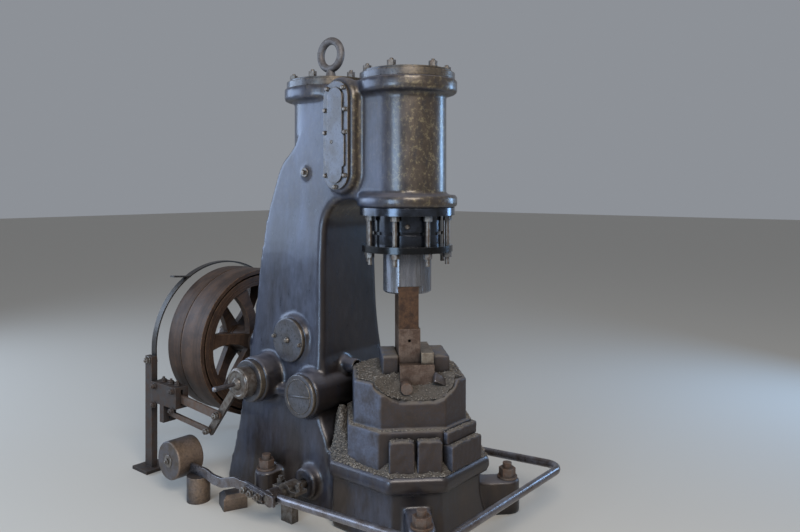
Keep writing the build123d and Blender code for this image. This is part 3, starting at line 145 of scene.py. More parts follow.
def aged_metal(name, metal, stain, edge, grime_and_shade="#141211", patch_mm=70, stain_share=0.52, grit_mm=1.5,
               grit_depth_mm=0.1, wave_depth_mm=0.35, rough=(0.3, 0.5), metallic=0.6, oil=0.25, edge_mm=3.0,
               dust_and_sheen="#6f665c", dust_sheen_share=0.0, stretch=(1, 1, 1), front_patina_and_light=None, front_light_share=0.0,
               painted_glint=None, low_front_colour=None, mud_and_shade=None, mud_shade_top=0.3, shade_low=0.66, shade_high=1.24,
               rings_about=None):
    """Metal with stains in patches; on the faces turned to the front a brown that is partly patina and partly
    painted light, with painted glints, darker low down; darker and muddy towards the floor, partly painted
    shade; painted shade in corners, which are grimy too; bright worn edges; and on what faces up a pale
    dusty coat, on glossy iron also a painted sheen of the sky. Real grit is finer than the render shows, so
    it is drawn a millimetre or more across."""
    material = bpy.data.materials.new(name)
    material.use_nodes = True
    tree = material.node_tree
    shader = tree.nodes["Principled BSDF"]
    place = add_node(tree, "TexCoord", output="Object")
    normal = add_node(tree, "NewGeometry", output="Normal")
    stretched = add_node(tree, "Mapping", {"Vector": place, "Scale": stretch})
    patch = add_node(tree, "TexNoise",
                     {"Vector": stretched, "Scale": 1000 / patch_mm, "Detail": 6, "Roughness": 0.62})
    speck = add_node(tree, "TexNoise", {"Vector": stretched, "Scale": 1000 * SPECKS_TO_PATCH / patch_mm,
                                        "Detail": 5, "Roughness": 0.7})

    # Stains in patches, then the front side's brown with its painted light, darker low down, and a muddy
    # darkening with painted shade towards the floor.
    share = add_node(tree, "MapRange", [patch, stain_share - 0.1, stain_share + 0.1])
    colour = add_node(tree, "Mix", {0: share, 6: metal, 7: stain}, **COLOURS)
    if low_front_colour or mud_and_shade:
        height = add_node(tree, "SeparateXYZ", [place], "Z")
    # Painted light: the faces turned to the front (-Y) take a brown that is partly patina and partly painted
    # light from that side, a warm reflection where it is pale and painted shade where it is dark.
    if front_light_share:
        facing = add_node(tree, "SeparateXYZ", [normal], "Y")
        share = add_node(tree, "MapRange", [facing, 0.15, -0.75, 0.0, front_light_share])
        patchy = add_node(tree, "MapRange", [speck, 0.25, 0.5, 0.6, 1.0])
        share = add_node(tree, "Math", [share, patchy], operation="MULTIPLY")
        # Golden flecks in it: painted glints that stand for highlights on the wrinkled skin.
        if painted_glint:
            glint = add_node(tree, "TexNoise",
                             {"Vector": place, "Scale": 1000 / GLINT_MM, "Detail": 4, "Roughness": 0.75})
            glint = add_node(tree, "MapRange", [glint, 0.52, 0.62, 0.0, 0.8])
            front_patina_and_light = add_node(tree, "Mix", {0: glint, 6: front_patina_and_light, 7: painted_glint}, **COLOURS)
        # Lower down, the front-facing colour turns darker.
        if low_front_colour:
            below = add_node(tree, "MapRange", [height, DARKER_BELOW + DARKER_FADE, DARKER_BELOW - DARKER_FADE])
            front_patina_and_light = add_node(tree, "Mix", {0: below, 6: front_patina_and_light, 7: low_front_colour}, **COLOURS)
        colour = add_node(tree, "Mix", {0: share, 6: colour, 7: front_patina_and_light}, **COLOURS)
    # Darker towards the floor: mud, and painted shade.
    if mud_and_shade:
        share = add_node(tree, "MapRange", [height, mud_shade_top, mud_shade_top * 0.4, 0.0, 0.9])
        patchy = add_node(tree, "MapRange", [patch, 0.40, 0.56, 0.25, 1.0])
        share = add_node(tree, "Math", [share, patchy], operation="MULTIPLY")
        colour = add_node(tree, "Mix", {0: share, 6: colour, 7: mud_and_shade}, **COLOURS)

    # Rings that turning and long running leave round an axis along Y, and light and dark specks.
    if rings_about:
        centred = add_node(tree, "Mapping", {"Vector": place, "Location": (0, 0, -rings_about)})
        across, along, up = [add_node(tree, "SeparateXYZ", [centred], axis) for axis in "XYZ"]
        radius = add_node(tree, "Math", [across, across], operation="MULTIPLY")
        radius = add_node(tree, "Math", [up, up, radius], operation="MULTIPLY_ADD")
        radius = add_node(tree, "Math", [radius, 0.5], operation="POWER")
        turned = add_node(tree, "CombineXYZ", [radius, along])
        rings = add_node(tree, "TexNoise",
                         {"Vector": turned, "Scale": 1000 / RING_MM, "Detail": 4, "Roughness": 0.7})
        rings = add_node(tree, "MapRange", [rings, 0.3, 0.7, 0.6, 1.4])
        colour = add_node(tree, "Mix", {0: 1.0, 6: colour, 7: rings}, blend_type="MULTIPLY", **COLOURS)
    shade = add_node(tree, "MapRange", [speck, 0.3, 0.7, shade_low, shade_high])
    colour = add_node(tree, "Mix", {0: 1.0, 6: colour, 7: shade}, blend_type="MULTIPLY", **COLOURS)

    # Painted shade, with grime, where little of the sky is seen, and bare metal where an edge is sharp and
    # rubbed.
    open_sky = add_node(tree, "AmbientOcclusion", {"Distance": GRIME_SHADE_REACH}, "AO", samples=4)
    share = add_node(tree, "MapRange", [open_sky, 0.35, 0.88, 0.85, 0.0])
    colour = add_node(tree, "Mix", {0: share, 6: colour, 7: grime_and_shade}, **COLOURS)
    rounded = add_node(tree, "Bevel", {"Radius": edge_mm / 1000}, samples=4)
    match = add_node(tree, "VectorMath", [rounded, normal], "Value", operation="DOT_PRODUCT")
    worn = add_node(tree, "MapRange", [match, 0.995, 0.86, 0.0, EDGE_SHARE])
    in_the_open = add_node(tree, "MapRange", [open_sky, 0.6, 0.95])
    worn = add_node(tree, "Math", [worn, in_the_open], operation="MULTIPLY")
    patchy = add_node(tree, "MapRange", [speck, 0.38, 0.6])
    worn = add_node(tree, "Math", [worn, patchy], operation="MULTIPLY")
    colour = add_node(tree, "Mix", {0: worn, 6: colour, 7: edge}, **COLOURS)
    roughness = add_node(tree, "MapRange", [speck, 0.3, 0.7, *rough])
    # Pale on what faces up: dust, and on glossy iron a painted sheen of the sky.
    if dust_sheen_share:
        facing_up = add_node(tree, "SeparateXYZ", [normal], "Z")
        dust_sheen_mask = add_node(tree, "MapRange", [facing_up, 0.35, 0.9, 0.0, dust_sheen_share])
        patchy = add_node(tree, "MapRange", [patch, 0.3, 0.55])
        dust_sheen_mask = add_node(tree, "Math", [dust_sheen_mask, patchy], operation="MULTIPLY")
        colour = add_node(tree, "Mix", {0: dust_sheen_mask, 6: colour, 7: dust_and_sheen}, **COLOURS)
        roughness = add_node(tree, "Mix", {0: dust_sheen_mask, 2: roughness, 3: DUST_ROUGH}, data_type="FLOAT")
        tree.links.new(add_node(tree, "MapRange", [dust_sheen_mask, 0, 1, metallic, 0.0]), shader.inputs["Metallic"])
    else:
        shader.inputs["Metallic"].default_value = metallic

    # Relief of grit and of the slow waves of the skin.
    grit = add_node(tree, "TexNoise",
                    {"Vector": stretched, "Scale": 1000 / grit_mm, "Detail": 3, "Roughness": 0.6})
    wave = add_node(tree, "TexNoise",
                    {"Vector": place, "Scale": 1000 / WAVE_MM, "Detail": 2, "Roughness": 0.5})
    grit = add_node(tree, "Math", [grit, grit_depth_mm / 1000], operation="MULTIPLY")
    relief = add_node(tree, "Math", [wave, wave_depth_mm / 1000, grit], operation="MULTIPLY_ADD")
    bump = add_node(tree, "Bump", {"Height": relief, "Distance": 1.0, "Normal": rounded})
    tree.links.new(colour, shader.inputs["Base Color"])
    tree.links.new(roughness, shader.inputs["Roughness"])
    tree.links.new(bump, shader.inputs["Normal"])
    shader.inputs["Coat Weight"].default_value = oil
    shader.inputs["Coat Roughness"].default_value = OIL_ROUGH
    return material


def finish_nodes(material, *names):
    """Gives carried-over nodes their material."""
    for name in names:
        data = nodes[name].data
        data.materials.clear()
        data.materials.append(material)


def eased(value, low, high):
    """Share of the way from low to high, leaving and arriving softly."""
    share = min(max((value - low) / (high - low), 0), 1)
    return share * share * (3 - 2 * share)


def cast_copy(node, body, material, voxel_mm, soften, snap_mm=(0.5, 2.2), dent_mm=0.0, dent_size_mm=30,
              added=None, shaped=None):
    """A copy of a CAD node with the soft corners and hollows of a casting; its flats stay where they are.
    An added piece is cast in one with it, and shaped moves each point of the surface. Dents are shallower
    on the flats than at the corners, which are worn back as well."""
    flat_dent, corner_dent, corner_wear = 0.3, 1.0, 0.3
    bpy.ops.object.select_all(action="DESELECT")
    copy = bpy.data.objects.new(node + "_surface", nodes[node].data.copy())
    bpy.context.scene.collection.objects.link(copy)
    copy.select_set(True)
    bpy.context.view_layer.objects.active = copy
    bpy.ops.object.mode_set(mode="EDIT")
    bpy.ops.mesh.select_all(action="SELECT")
    bpy.ops.mesh.remove_doubles(threshold=0.00001)
    bpy.ops.object.mode_set(mode="OBJECT")
    if added:
        added.select_set(True)
        bpy.ops.object.join()
    drawn = BVHTree.FromObject(copy, bpy.context.evaluated_depsgraph_get())
    mould = copy.modifiers.new("mould", "REMESH")
    mould.mode = "VOXEL"
    mould.voxel_size = voxel_mm / 1000
    soft = copy.modifiers.new("soft", "SMOOTH")
    soft.factor = 0.5
    soft.iterations = soften
    bpy.ops.object.modifier_apply(modifier="mould")
    bpy.ops.object.modifier_apply(modifier="soft")
    for vertex in copy.data.vertices:
        near, normal, face, gap = drawn.find_nearest(vertex.co)
        away = eased(gap * 1000, *snap_mm)
        vertex.co = near.lerp(vertex.co, away)
        if dent_mm:
            lump = noise.noise(vertex.co * (1000 / dent_size_mm))
            depth = lump * (flat_dent + (corner_dent - flat_dent) * away) - corner_wear * away
            vertex.co += normal * (depth * dent_mm / 1000)
        if shaped:
            vertex.co = shaped(vertex.co)
    copy.data.materials.clear()
    copy.data.materials.append(material)
    bpy.ops.object.shade_smooth()
    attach(copy, body)
    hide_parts(node)


def pan_depth(x, y):
    """Distance inwards from the outside of the pan's rim."""
    return min(PAN_HALF_X - abs(x), PAN_HALF_Y - abs(y), (PAN_DIAGONAL - abs(x) - abs(y)) * sin(pi / 4))


def hollow_skirt(point):
    """The skirt of the pan curves in under the roll of the rim and out again to the floor."""
    depth = pan_depth(point.x, point.y)
    on_wall = eased(depth, 0.002, 0.010) * eased(depth, 0.022, 0.017) * eased(point.y, 0.14, 0.08)
    curve = eased(point.z, RIM_FOOT + 0.004, RIM_FOOT - 0.008) * eased(point.z, 0.0, 0.13)
    inwards = 1 - SKIRT_HOLLOW * on_wall * curve
    return Vector((point.x * inwards, point.y * inwards, point.z))


# Sand-cast iron under old oil: glossy and slightly wavy, its stains drawn down in long patches.
# Its blue-grey is a painted sheen; its pale colour on what faces up is dust with a painted sheen of the sky,
# and near the floor it is darker and muddy, partly painted shade.
casting_iron = aged_metal("oil_blackened_cast_iron", "#4a5061", "#3a3b44", "#94805f", patch_mm=170,
                          rough=(0.26, 0.42), metallic=0.42, oil=0.3, edge_mm=9, front_patina_and_light="#4a3f34",
                          front_light_share=0.95, painted_glint="#7c7056", low_front_colour="#2c2420", mud_and_shade="#372c24",
                          mud_shade_top=0.38, stretch=(1, 1, 0.35), wave_depth_mm=0.45, dust_and_sheen="#75727a",
                          dust_sheen_share=0.55)
cast_copy("frame_casting", "frame", casting_iron, voxel_mm=8.4, soften=6, shaped=hollow_skirt)
finish_nodes(casting_iron, "shaft_bearing_cap")

# Turned covers: discs and a plate of grey iron, bolted on the faces of the casting. They are machined and
# not left as cast, so that their patches are smaller and their gloss is smoother.
# On their faces turned to the front they are brown, partly patina and partly a painted warm reflection.
cover_iron = aged_metal("machined_cast_iron", "#565a65", "#47464a", "#a08a68", patch_mm=60, rough=(0.24, 0.4),
                        metallic=0.45, oil=0.3, edge_mm=5, front_patina_and_light="#5c5040", front_light_share=0.9)
finish_nodes(cover_iron, "working_cylinder_cover", "compressor_cylinder_cover", "valve_cover",
             "upper_housing_cover", "lower_housing_cover", "lever_seat")

# Gland: turned steel rings and a sleeve, held up under the working cylinder by studs. Black oil from the
# rod keeps them wet, so that they are dark and glossier than anything else here.
gland_steel = aged_metal("oily_turned_steel", "#3d424d", "#24262b", "#8a8a90", patch_mm=60,
                         rough=(0.14, 0.26), oil=0.5, metallic=0.8, grit_depth_mm=0.02,
                         wave_depth_mm=0.05, edge_mm=2)
finish_nodes(gland_steel, "gland_top_ring", "gland_body")
# The lowest ring, where the oil gathers and burns: almost black.
ring_steel = aged_metal("oil_black_steel", "#18191c", "#100f0f", "#7d7874", patch_mm=60, rough=(0.16, 0.3),
                        oil=0.4, metallic=0.6, grit_depth_mm=0.02, wave_depth_mm=0.05, edge_mm=2)
finish_nodes(ring_steel, "gland_lower_ring")

# Studs, nuts, shafts and the hand lever: turned and milled machine steel, never painted. Oil keeps the
# rust off, and its edges are bright between small brown patches.
stud_steel = aged_metal("oiled_bolt_steel", "#7a736c", "#5a4c42", "#bcb1a3", patch_mm=20, rough=(0.28, 0.45),
                        edge_mm=1.5, grit_depth_mm=0.05, wave_depth_mm=0.1)
finish_nodes(stud_steel, "gland_studs", "gland_nuts", "cover_nuts", "crankshaft", "shaft_collar",
             "shaft_chair_bolts", "hand_lever", "treadle_shafts", "shaft_chairs")

# Ram: a ground steel rod, polished by its packing as it runs. The scores of its stroke are drawn out
# along it, wider than the real ones so that they show, and a thin film of oil lies over them.
# On its faces turned to the front it takes a grey-brown, partly stain and partly a painted warm reflection.
ram_steel = aged_metal("ground_ram_steel", "#a2a6b2", "#85868a", "#b4b4b6", patch_mm=60, rough=(0.2, 0.34),
                       metallic=0.85, oil=0.1, grit_depth_mm=0.006, wave_depth_mm=0.03, edge_mm=2,
                       stretch=(1, 1, 0.08), front_patina_and_light="#6a645f", front_light_share=0.5, shade_low=0.8,
                       shade_high=1.12)
finish_nodes(ram_steel, "ram", "top_die_key")

# Dies, shoe and key: forged tool steel, held in dovetails. Hot work has given it a skin of forge scale,
# dry and matt; the upper die is burnt the brownest, and the driven key is rubbed bright at its edges.
die_steel = aged_metal("heat_scaled_steel", "#6b5a4f", "#523f34", "#948374", patch_mm=35, metallic=0.45,
                       oil=0.0, rough=(0.42, 0.6), shade_low=0.6, shade_high=1.3)
finish_nodes(die_steel, "bottom_die", "die_shoe")
hot_die_steel = aged_metal("burnt_die_steel", "#563d2b", "#39281e", "#9a8468", patch_mm=24, metallic=0.5,
                           oil=0.0, rough=(0.42, 0.6), shade_low=0.6, shade_high=1.3)
finish_nodes(hot_die_steel, "top_die")
key_steel = aged_metal("worn_key_steel", "#857a6c", "#6a5d50", "#a99d8c", patch_mm=25, metallic=0.45, oil=0.0,
                       rough=(0.4, 0.6), edge_mm=6)
finish_nodes(key_steel, "bottom_die_key")

# Anvil, wedges and bars: an eight-sided block of cast iron, stood at 45 degrees in the pan and wedged
# there. Scale dust dulls it, and its faces turned to the front are darkened to brown with painted shade.
# It is higher behind and beside the dies, and in front its edge has broken away in a rough hollow.
DIE_ANGLE = pi / 4                    # of the dies and the anvil, turned in the frame
ANVIL_HALF, ANVIL_CORNER = 0.215, 0.093
BLOCK_FOOT, ANVIL_TOP = 0.450, 0.569
BREAK_CENTRE = (0.030, -0.230, 0.600)             # across and along the dies, and up
BREAK_RADII = (0.200, 0.140, 0.100)
BREAK_ROUGH = 0.005
FINE_LUMPS, BROAD_LUMPS = 40, 15      # to the metre, on the broken face


def in_die_frame(across, along):
    """A place across and along the dies as one in the frame of the machine."""
    return (across + along) * cos(DIE_ANGLE), (along - across) * sin(DIE_ANGLE)


# Battered cast iron: coarse grit, deep waves and a grey coat of dust on all that faces up. The dark brown on
# its faces turned to the front is painted shade.
anvil_iron = aged_metal("dusty_cast_iron", "#5d6272", "#4b4a50", "#86796a", patch_mm=60, metallic=0.35,
                        oil=0.0, rough=(0.38, 0.6), dust_sheen_share=0.85, edge_mm=8, front_patina_and_light="#3b2f27",
                        front_light_share=0.95, grit_mm=2.6, grit_depth_mm=0.45, wave_depth_mm=0.8)
bpy.ops.object.select_all(action="DESELECT")
bpy.ops.mesh.primitive_cube_add(size=1, location=(0, 0, (BLOCK_FOOT + ANVIL_TOP) / 2))
anvil_block = bpy.context.object
anvil_block.scale = (2 * ANVIL_HALF, 2 * ANVIL_HALF, ANVIL_TOP - BLOCK_FOOT)
bpy.ops.object.transform_apply(location=False, rotation=False, scale=True)
bpy.ops.object.mode_set(mode="EDIT")
bpy.ops.mesh.select_mode(type="EDGE")
bpy.ops.mesh.select_all(action="DESELECT")
bpy.ops.object.mode_set(mode="OBJECT")
for edge in anvil_block.data.edges:
    ends = [anvil_block.data.vertices[i].co for i in edge.vertices]
    edge.select = abs(ends[0].z - ends[1].z) > 0.01
bpy.ops.object.mode_set(mode="EDIT")
bpy.ops.mesh.bevel(offset=ANVIL_CORNER, segments=1)
bpy.ops.object.mode_set(mode="OBJECT")
anvil_block.rotation_euler.z = -DIE_ANGLE
bpy.ops.object.select_all(action="DESELECT")
bpy.ops.mesh.primitive_ico_sphere_add(subdivisions=5, radius=1)
broken = bpy.context.object
for vertex in broken.data.vertices:
    place = Vector([c * r for c, r in zip(vertex.co, BREAK_RADII)])
    lumps = noise.noise(place * FINE_LUMPS) * BREAK_ROUGH + noise.noise(place * BROAD_LUMPS) * 2 * BREAK_ROUGH
    vertex.co = place + vertex.co * lumps
broken.location = (*in_die_frame(*BREAK_CENTRE[:2]), BREAK_CENTRE[2])
broken.rotation_euler.z = -DIE_ANGLE
cut = anvil_block.modifiers.new("broken_edge", "BOOLEAN")
cut.object = broken
cut.operation = "DIFFERENCE"
bpy.context.view_layer.objects.active = anvil_block
anvil_block.select_set(True)
broken.select_set(False)
bpy.ops.object.modifier_apply(modifier="broken_edge")
bpy.ops.object.transform_apply(location=True, rotation=True, scale=True)
bpy.data.objects.remove(broken)
cast_copy("anvil", "frame", anvil_iron, voxel_mm=5, soften=4, dent_mm=3.0, dent_size_mm=38, added=anvil_block)
cast_copy("wedge_blocks", "frame", anvil_iron, voxel_mm=3.2, soften=16, snap_mm=(0.2, 1.2), dent_mm=4,
          dent_size_mm=30)
cast_copy("rim_bar_lower", "frame", anvil_iron, voxel_mm=3.2, soften=9, snap_mm=(0.2, 1.2), dent_mm=4,
          dent_size_mm=24)
cast_copy("rim_bar_upper", "frame", anvil_iron, voxel_mm=3, soften=9, snap_mm=(0.2, 1.2), dent_mm=4,
          dent_size_mm=24)

# Balance weight, clamped to the lever bar, with the round stop under it: plain iron castings with hardly
# any oil on them, so dull and rubbed at the edges. On the faces turned to the front they are brown, partly
# patina and partly a painted warm reflection.
weight_iron = aged_metal("rubbed_cast_iron", "#55555b", "#4d443d", "#9c8d7c", patch_mm=50, metallic=0.45,
                         oil=0.05, rough=(0.4, 0.58), edge_mm=5, front_patina_and_light="#87705c", front_light_share=0.8)
finish_nodes(weight_iron, "lever_stop", "balance_weight")

# Lifting eye: forged steel, screwed into the rear cover. It is as it left the forge, never machined, so
# it is dull and even in colour.
eye_steel = aged_metal("forged_dull_steel", "#706c6c", "#605957", "#8f8682", patch_mm=40, metallic=0.4,
                       oil=0.0, rough=(0.5, 0.66))
finish_nodes(eye_steel, "lifting_eye")

# Pulleys: cast iron with turned rims, one fast and one loose on the shaft. Dry and brown with rust, with
# rings from long running, drawn wider than the real ones so that they show.
# Its fourth colour is the painted shade, with grime, in its corners.
pulley_iron = aged_metal("belt_polished_cast_iron", "#4c382b", "#3a2a21", "#a0764f", "#2b211b", patch_mm=60,
                         metallic=0.2, oil=0.0, rough=(0.5, 0.66), edge_mm=4, rings_about=0.563,
                         wave_depth_mm=0.1)
finish_nodes(pulley_iron, "fast_pulley", "loose_pulley")

# Hoop round the pulleys: mild steel strip, bent to a round and bolted to its posts. Its rolled skin has
# darkened and is only a little glossy.
hoop_steel = aged_metal("dark_hoop_steel", "#35312f", "#423d39", "#8f8880", patch_mm=40, metallic=0.5,
                        oil=0.05, rough=(0.35, 0.5), edge_mm=2)
finish_nodes(hoop_steel, "belt_hoop")

# Link bars, foundation bolts and the bolt of the shoe: mild steel, cut from flat and round bar and left
# bare, with a matt brown skin of rust in small patches.
rusty_steel = aged_metal("rusted_flat_steel", "#66584f", "#62493a", "#97806e", patch_mm=25, metallic=0.3,
                         oil=0.0, rough=(0.5, 0.72))
finish_nodes(rusty_steel, "link_bar_upper", "link_bar_lower", "foundation_bolts", "shoe_bolt")

# Guide of the shifter and posts of the hoop: flat bar, bolted up and stood on the floor. Soot lies in the
# rust, so they are darker than the links.
guide_steel = aged_metal("sooty_flat_steel", "#433d3b", "#46352b", "#85715f", patch_mm=25, metallic=0.3,
                         oil=0.0, rough=(0.5, 0.7))
finish_nodes(guide_steel, "shifter_guide", "hoop_posts")

# Treadle and the grip of the hand lever: round and flat bar of mild steel, bent and joined. Use keeps
# them as bright as new steel; on the faces turned to the front they are brown, partly stain and partly
# painted warm light.
treadle_steel = aged_metal("worn_treadle_steel", "#8b8b94", "#6b615d", "#b8b8be", patch_mm=90,
                           rough=(0.24, 0.36), metallic=0.8, oil=0.15, front_patina_and_light="#62564d", front_light_share=0.6,
                           shade_low=0.82, shade_high=1.12)
finish_nodes(treadle_steel, "treadle_bar", "treadle_lever", "control_spindle")

# Screws of the valve cover: nine small hexagon heads round the edge of the plate, and a round plug on
# its raised middle. They are turned from the same oiled steel as the studs.
LEFT, UP = (-1, 0, 0), (0, 0, 1)
PAD_RISE, PLUG_SEAT = 0.0070, 0.0068  # of the plate's raised middle; the plug is let into its face
VALVE_SCREWS = ((0.240, 1.690), (0.154, 1.690), (0.252, 1.605), (0.142, 1.605), (0.252, 1.516),
                (0.142, 1.516), (0.249, 1.346), (0.145, 1.346), (0.197, 1.301))


def piece(name, body, material, smooth_angle=40):
    """Ends a modelled piece: its place goes into its mesh, and it takes its material and its body."""
    made = bpy.context.object
    made.name = name
    bpy.ops.object.transform_apply(location=True, rotation=True, scale=True)
    made.data.materials.clear()
    made.data.materials.append(material)
    bpy.ops.object.shade_smooth_by_angle(angle=radians(smooth_angle))
    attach(made, body)


def stood_on(made, place, direction):
    """Moves a piece made at the origin to its place on a face."""
    facing = Vector(direction).to_track_quat("Z", "Y").to_matrix().to_4x4()
    made.matrix_world = Matrix.Translation(place) @ facing


def turned_boss(place, direction, radius, steps, sides=40):
    """A disc on a face, its free end shaped by (inset, rise) steps in mm, as on a lathe."""
    bpy.ops.object.select_all(action="DESELECT")
    first_rise = steps[0][1] / 1000
    bpy.ops.mesh.primitive_cylinder_add(vertices=sides, radius=radius / 1000, depth=first_rise,
                                        location=(0, 0, first_rise / 2))
    bpy.ops.object.transform_apply(location=True)
    bpy.ops.object.mode_set(mode="EDIT")
    bpy.ops.mesh.select_mode(type="FACE")
    bpy.ops.mesh.select_all(action="DESELECT")
    bpy.ops.object.mode_set(mode="OBJECT")
    boss = bpy.context.object
    for face in boss.data.polygons:
        face.select = face.normal.z > 0.9
    bpy.ops.object.mode_set(mode="EDIT")
    for inset, rise in steps[1:]:
        bpy.ops.mesh.inset(thickness=inset / 1000)
        bpy.ops.transform.translate(value=(0, 0, rise / 1000))
    bpy.ops.object.mode_set(mode="OBJECT")
    stood_on(boss, place, direction)
    return boss


def joined(parts):
    """Makes one object of several."""
    bpy.ops.object.select_all(action="DESELECT")
    for part in parts:
        part.select_set(True)
    bpy.context.view_layer.objects.active = parts[0]
    bpy.ops.object.join()
    return bpy.context.object


def hex_head(place, direction, across, height, washer=0.0, stud=0.0, turn=0.0, sides=6):
    """A bolt head or nut with turned-down corners, on a washer, with the end of its stud standing out.
    Sizes are in mm: across the flats, high, the washer's radius and how far the stud stands out."""
    made = []
    rise = 0.0
    if washer:
        made.append(turned_boss((0, 0, 0), UP, washer, [(0, 3), (1.2, 0.8)], sides=24))
        bpy.ops.object.transform_apply(location=True, rotation=True)
        rise = 3.6                    # a little less than the washer, so that the nut sits in it
    head = turned_boss((0, 0, rise / 1000), UP, across / 2 / cos(pi / sides),
                       [(0, height * 0.86), (across * 0.06, height * 0.14), (across * 0.1, 0.4)], sides=sides)
    head.rotation_euler.z = turn
    made.append(head)
    if stud:
        made.append(turned_boss((0, 0, (rise + height) / 1000), UP, across * 0.27,
                                [(0, stud * 0.8), (across * 0.06, stud * 0.2)], sides=16))
    nut = joined(made)
    bpy.ops.object.transform_apply(location=True, rotation=True, scale=True)
    stood_on(nut, place, direction)
    bpy.ops.object.transform_apply(location=True, rotation=True, scale=True)
    return nut


cover_face_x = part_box("valve_cover")[0].x + PAD_RISE
joined([hex_head((cover_face_x, y, z), LEFT, 15, 8, washer=9.5, turn=i)
        for i, (y, z) in enumerate(VALVE_SCREWS)])
piece("valve_cover_screws", "frame", stud_steel)
turned_boss((cover_face_x - PLUG_SEAT, 0.213, 1.479), LEFT, 7, [(0, 1.5), (1.5, 0.8), (2, -1.5)], sides=20)
piece("valve_cover_plug", "frame", stud_steel)

# Oil plug in the flank of the casting: a square-headed steel plug, screwed down on a flat round collar
# where the oil is let in.
OIL_PLUG = (-0.162, 0.420, 1.362)
joined([turned_boss(OIL_PLUG, LEFT, 20, [(0, 3), (2, 2)], sides=28),
        hex_head((OIL_PLUG[0] - 0.004, *OIL_PLUG[1:]), LEFT, 17, 12, sides=4, turn=0.5)])
piece("oil_plug", "frame", stud_steel)

# Round covers: the upper one has a steel spindle in its middle, held by two screws. The lower one has
# a worn rib across it and a turned ring, both cast in one with it.
RIB_LENGTH, RIB_RADIUS, RIB_FLAT = 0.120, 0.005, 0.7
RING_RADIUS, RING_THICK = 0.068, 0.0024
upper_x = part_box("upper_housing_cover")[0].x
joined([turned_boss((upper_x, 0.468, 0.662), LEFT, 13, [(0, 4), (3, 3), (2, 6), (2, 1)], sides=24),
        hex_head((upper_x, 0.548, 0.671), LEFT, 14, 8, washer=9),
        hex_head((upper_x, 0.389, 0.652), LEFT, 14, 8, washer=9)])
piece("upper_cover_fittings", "frame", stud_steel)
lower_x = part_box("lower_housing_cover")[0].x
bpy.ops.object.select_all(action="DESELECT")
bpy.ops.mesh.primitive_cylinder_add(vertices=20, radius=RIB_RADIUS, depth=RIB_LENGTH,
                                    location=(lower_x, 0.338, 0.461), rotation=(pi / 2 - 0.1, 0, 0))
bpy.context.object.scale = (RIB_FLAT, 1, 1)
bpy.ops.object.transform_apply(location=False, rotation=False, scale=True)
edge_round = bpy.context.object.modifiers.new("rounded", "BEVEL")
edge_round.width, edge_round.segments = 0.003, 3
bpy.ops.object.modifier_apply(modifier="rounded")
piece("lower_cover_rib", "frame", cover_iron)
bpy.ops.object.select_all(action="DESELECT")
bpy.ops.mesh.primitive_torus_add(major_radius=RING_RADIUS, minor_radius=RING_THICK, major_segments=72,
                                 minor_segments=10, location=(lower_x, 0.340, 0.462), rotation=(0, pi / 2, 0))
piece("lower_cover_ring", "frame", cover_iron)

# Studs of the cylinder covers: six to a cover, screwed into the casting. Their turned ends stand a
# little out of their nuts.
STUD_CIRCLE, FIRST_STUD = 0.160, 17               # metres, degrees
nut_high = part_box("cover_nuts")[1]
studs = []
for centre_y in (0.0, 0.430):
    for i in range(6):
        angle = radians(FIRST_STUD + 60 * i)
        place = (STUD_CIRCLE * cos(angle), centre_y + STUD_CIRCLE * sin(angle), nut_high.z - 0.001)
        studs.append(turned_boss(place, UP, 9, [(0, 7), (1.5, 1.5), (2, 0.8)], sides=18))
joined(studs)
piece("cover_stud_ends", "frame", stud_steel)

# Grease screw: turned steel, screwed into the front left of the gland's sleeve, with a small hollow in
# its end where the grease goes in.
turned_boss((-0.1095, -0.0890, 1.149), (-0.776, -0.631, 0), 10, [(0, 6), (2, 3), (3, 2), (2, -2)], sides=24)
piece("gland_grease_screw", "frame", stud_steel)

# Hub of the hand lever: a turned rim, a recess and a small boss that holds the round grip. A small knob
# on the end of the grip is ground as bright as the ram.
HUB = (-0.3723, 0.600, 0.490)
joined([turned_boss(HUB, LEFT, 60, [(0, 2), (3, 3), (6, 0.6), (4, -3.5), (14, 0.2)], sides=48),
        turned_boss(HUB, LEFT, 27, [(0, 5), (3, 5), (5, 3), (3, 6), (2, 1)], sides=36)])
piece("lever_hub_face", "control_lever", stud_steel)
turned_boss((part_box("control_spindle")[0].x + 0.014, *HUB[1:]), LEFT, 10.5,
            [(0, 8), (2, 4), (3, 2), (2, 0.6)], sides=24)
piece("spindle_knob", "control_lever", ram_steel)

# Nuts on the pins of the two shifter links: plain hexagon nuts of machine steel on washers, screwed
# down on the ends of the pins, so that each is turned its own way.
link_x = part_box("link_bar_upper")[0].x
hex_head((link_x, 0.7232, 0.3363), LEFT, 26, 12, washer=15, stud=5, turn=0.3)
piece("upper_link_nut", "upper_link", stud_steel)
hex_head((link_x, 0.7851, 0.2590), LEFT, 24, 12, washer=14, stud=5, turn=0.8)
piece("lower_link_nut", "lower_link", stud_steel)

# Bolts of the shifter guide: four through its side plates and three down through its top, in the same
# sooty steel as the guide.
guide_low, guide_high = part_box("shifter_guide")
guide_bolts = [hex_head((guide_low.x, y, z), LEFT, 22, 12, washer=14, stud=6, turn=y * z * 50)
               for y in (1.010, 1.152) for z in (0.392, 0.307)]
guide_middle = (guide_low.x + guide_high.x) / 2
guide_bolts += [hex_head((guide_middle, y, guide_high.z), UP, 22, 11, washer=14, stud=9, turn=y)
                for y in (guide_low.y + 0.035, guide_low.y + 0.085, guide_high.y - 0.05)]
joined(guide_bolts)
piece("shifter_guide_bolts", "frame", guide_steel)

